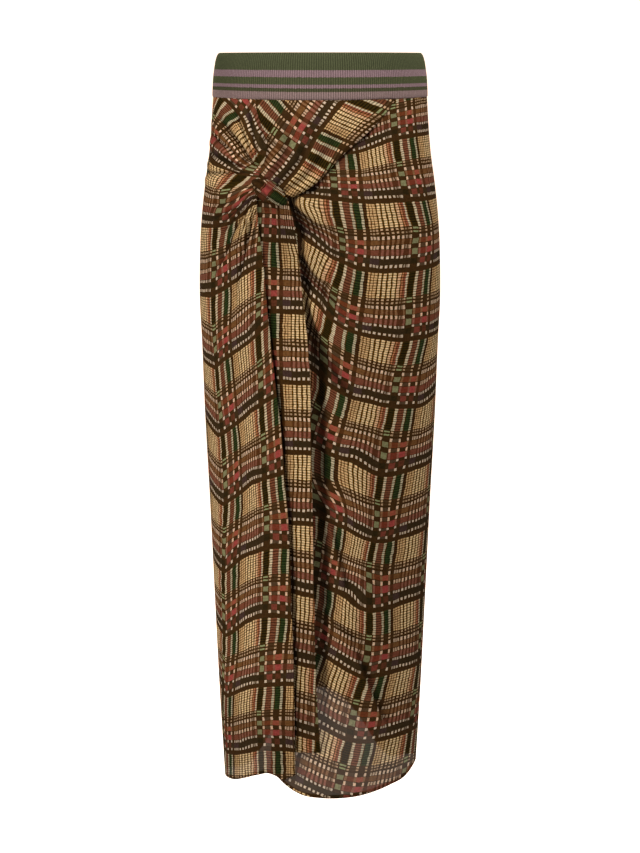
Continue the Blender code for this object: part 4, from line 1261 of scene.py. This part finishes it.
def place_tail(across_place, down_place):
    """Across runs from the edge under the left panel (0) to the free edge (1)."""
    height = TAIL_TOP + (TAIL_END - TAIL_TOP) * down_place
    left = read_table(TAIL_LEFT_EDGE, "height", "across", height)
    right = read_table(TAIL_RIGHT_EDGE, "height", "across", height)
    across = left + (right - left) * across_place
    lift = TAIL_LIFT + TAIL_TOP_RISE * ease(height, -0.24, -0.17)
    pinched = ease(height, -0.33, -0.19)
    beside = across_place - PINCH_PLACE
    lift -= PINCH_DEPTH * np.exp(-(beside / PINCH_WIDTH) ** 2) * pinched
    gathers = np.cos(2 * np.pi * beside / GATHER_PITCH) * ease(across_place, 0.68, 0.74)
    lift -= GATHER_DEPTH * gathers * pinched
    panel_edge = read_table(LEFT_PANEL_EDGE, "height", "across", height) - 3.0 * MM
    width = read_table(TAIL_SHADE, "height", "across", height)
    # Beside the left panel's edge the tail is sunk and gets painted shade; its top and low end get painted
    # shade too.
    shaded = (1 - ease(across - panel_edge, 0.35 * width, width)) * ease(-height, 0.25, 0.31)
    lift -= (lift - TAIL_SUNK) * shaded
    painted_tail_shade = TAIL_TOP_SHADE * pinched + TAIL_END_SHADE * ease(-height, 0.66, 0.76)
    return angle_at(across, height), height, lift, np.maximum(shaded, painted_tail_shade)


tail_piece = lay_cloth("tail_cloth", turned(56, 0.05), turned(420, 0.75), place_tail,
                       plate_pair(tail_across, tail_along), crepe)
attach(tail_piece, "root")
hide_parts("sash_tail")

# %% [markdown]
# ## Knot
#
# The knot is a loop of cloth, narrow at both ends, that lies over the place where all the gathers meet.

# %% Knot
KNOT_X, KNOT_Z, KNOT_TILT = -63.0 * MM, -149.0 * MM, np.radians(-35.0)
KNOT_HALF_LENGTH, KNOT_HALF_WIDTH, KNOT_TAPER = 26.0 * MM, 14.5 * MM, 0.45
KNOT_LIFT, KNOT_RISE, KNOT_GROOVES = 8.4 * MM, 7.0, 1.7
# Painted shade: a little all over the knot, more in its grooves and towards its rim.
KNOT_SHADE, KNOT_GROOVE_SHADE, KNOT_RIM_SHADE = 0.15, 0.35, 0.3


def place_knot(across_place, down_place):
    """The square grid is carried to a disc, and the disc to a tapered loop with three lengthwise ridges."""
    u, v = 2 * across_place - 1, 1 - 2 * down_place
    disc_u, disc_v = u * np.sqrt(1 - v * v / 2), v * np.sqrt(1 - u * u / 2)
    along = disc_u * KNOT_HALF_LENGTH
    side = disc_v * KNOT_HALF_WIDTH * (1 - KNOT_TAPER * disc_u ** 2)
    across = KNOT_X + along * np.cos(KNOT_TILT) - side * np.sin(KNOT_TILT)
    height = KNOT_Z + along * np.sin(KNOT_TILT) + side * np.cos(KNOT_TILT)
    dome = np.sqrt(np.clip(1 - np.hypot(disc_u, disc_v) ** 2, 0.0, 1.0))
    swell = np.cos(3 * np.pi * disc_v)
    # The knot's painted shade.
    hollow = KNOT_SHADE + KNOT_GROOVE_SHADE * (1 - swell) / 2 + KNOT_RIM_SHADE * (1 - dome)
    lift = KNOT_LIFT + (KNOT_RISE + KNOT_GROOVES * swell) * MM * dome
    return angle_at(across, height), height, lift, hollow


def knot_cloth(distance, height):
    """A red block shows at the upper end of the loop and a green one at its lower end."""
    x, z = distance - KNOT_X / MM, height - KNOT_Z / MM
    along = x * np.cos(KNOT_TILT) + z * np.sin(KNOT_TILT)
    side = -x * np.sin(KNOT_TILT) + z * np.cos(KNOT_TILT)
    weft_unit = np.interp(along, (-26, -10.5, -9, 1.5, 4.5, 16, 26), (38, 47.5, 58.6, 64.6, 81.5, 98, 106))
    warp_unit = np.interp(side, (-14.5, -7, -4.5, 7, 9, 10.5, 17.5), (34, 30.3, 27.6, 21.4, 20.4, 10.6, 0))
    s = (warp_unit - DARK_WARP_MIDDLE) * WARP_UNIT
    t = (weft_unit - DARK_WEFT_MIDDLE) * REPEAT_ALONG / WEFT_REPEAT
    return s, t


knot_piece = lay_cloth("knot_cloth", plain(60), plain(48), place_knot, knot_cloth, crepe)
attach(knot_piece, "root")
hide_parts("knot")

# %% [markdown]
# ## Ribbed waistband
#
# The band is a knitted tube with fine upright ribs and woven-in stripes. Ribs are the thing one sees, so
# they are in the mesh: a grid is bent into a closed ring whose outside rises and falls 284 times.

# %% Knit material
STRIPES = (  # share of the band's height from its lower edge, and the yarn's colour
    (0.0, (129, 107, 103)), (0.165, (68, 67, 45)), (0.245, (127, 103, 106)), (0.32, (72, 74, 49)),
    (0.475, (127, 103, 106)), (0.625, (71, 74, 50)),
)


def make_knit():
    """Stripes round the band with ragged edges, in heather yarn, with painted shade between the ribs and a
    slight painted highlight on them.
    """
    made, tree, shader = matt_material("rib_knit", 0.9, 0.1, (84, 86, 58))
    shader.location = (1400, 0)
    place = node(tree, "ShaderNodeUVMap", -3, 0, uv_map="UVMap")
    parts = node(tree, "ShaderNodeSeparateXYZ", -2, 0)
    tree.links.new(place.outputs[0], parts.inputs[0])
    coords = node(tree, "ShaderNodeTexCoord", -3, 2)
    fuzz = noise(tree, -2, 2, coords.outputs["Object"], 900.0, 3.0)
    ragged = math(tree, -1, 2, "MULTIPLY", math(tree, -1, 3, "SUBTRACT", fuzz, 0.5), 0.03)
    stripe_place = math(tree, 0, 0, "ADD", parts.outputs["Y"], ragged)
    stripes = ramp(tree, 1, 0, stripe_place, stripe_stops(STRIPES, 1.0))
    heather = map_range(tree, 1, 2, fuzz, (0.3, 0.7), (0.72, 1.25))
    colour = mix_colour(tree, 3, 0, 1.0, stripes.outputs["Color"], heather, "MULTIPLY")
    # Painted shade between the ribs and a slight painted highlight on their crests.
    rib = math(tree, 1, 4, "SINE", math(tree, 0, 4, "MULTIPLY", parts.outputs["X"], 2 * np.pi))
    low = map_range(tree, 2, 4, rib, (-1.0, 1.0), (0.55, 1.1))
    colour = mix_colour(tree, 4, 0, 1.0, colour, low, "MULTIPLY")
    bump = node(tree, "ShaderNodeBump", 4, 2)
    bump.inputs["Strength"].default_value = 0.5
    bump.inputs["Distance"].default_value = 0.0004
    tree.links.new(fuzz, bump.inputs["Height"])
    tree.links.new(bump.outputs[0], shader.inputs["Normal"])
    tree.links.new(colour, shader.inputs["Base Color"])
    return made


knit = make_knit()
print("knit stripes:", len(STRIPES))

# %% Band
RIB_COUNT, RIB_SAMPLES, RIB_HEIGHT = 284, 6, 0.7 * MM
INNER_LIFT, INNER_RIBS = -0.5, -0.3  # rows below this lift are the inside, where ribs are faint and sunk
BAND_PROFILE = (  # share of the height, lift in millimetres, and how much of the ribs shows
    (0.0, -1.0, 0.0), (0.0, 0.6, 0.4), (0.02, 1.3, 0.8), (0.08, 1.4, 1.0), (0.2, 1.4, 1.0), (0.35, 1.4, 1.0),
    (0.5, 1.4, 1.0), (0.65, 1.4, 1.0), (0.8, 1.4, 1.0), (0.9, 1.4, 1.0), (0.95, 1.3, 1.0), (0.98, 1.0, 0.9),
    (0.995, 0.5, 0.7), (1.0, 0.0, 0.5), (0.99, -0.7, 0.4), (0.95, -1.0, 0.4), (0.8, -1.0, 0.4),
    (0.5, -1.0, 0.4), (0.2, -1.0, 0.4), (0.0, -1.0, 0.0),
)


def make_band():
    """A grid bent round the form: across it goes round, and up it follows the band's profile."""
    rows = len(BAND_PROFILE) - 1
    piece, flat = flat_grid("rib_band", RIB_COUNT * RIB_SAMPLES, rows)
    mesh = piece.data
    turn = (flat[:, 0] + 1) / 2
    row = np.rint((flat[:, 1] + 1) / 2 * rows).astype(int)
    share, lift, ribbed = np.array(BAND_PROFILE).T
    angle = turn * 2 * np.pi
    bottom = band_bottom(angle)
    height = bottom + (BAND_TOP - bottom) * share[row]
    wave = 0.5 + 0.5 * np.cos(2 * np.pi * RIB_COUNT * turn)
    outward = np.where(lift[row] < INNER_LIFT, INNER_RIBS, 1.0)
    points = on_form(angle, height, lift[row] * MM + RIB_HEIGHT * wave * ribbed[row] * outward)
    mesh.vertices.foreach_set("co", points.ravel())
    set_uv(mesh, np.column_stack([turn * RIB_COUNT + 0.25, share[row]]))
    mesh.materials.append(knit)
    bpy.ops.object.mode_set(mode="EDIT")
    bpy.ops.mesh.select_all(action="SELECT")
    bpy.ops.mesh.remove_doubles(threshold=0.00001)
    bpy.ops.object.mode_set(mode="OBJECT")
    mesh.shade_smooth()
    print("rib_band faces:", len(mesh.polygons))
    return piece


band_piece = make_band()
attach(band_piece, "root")
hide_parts("waistband")
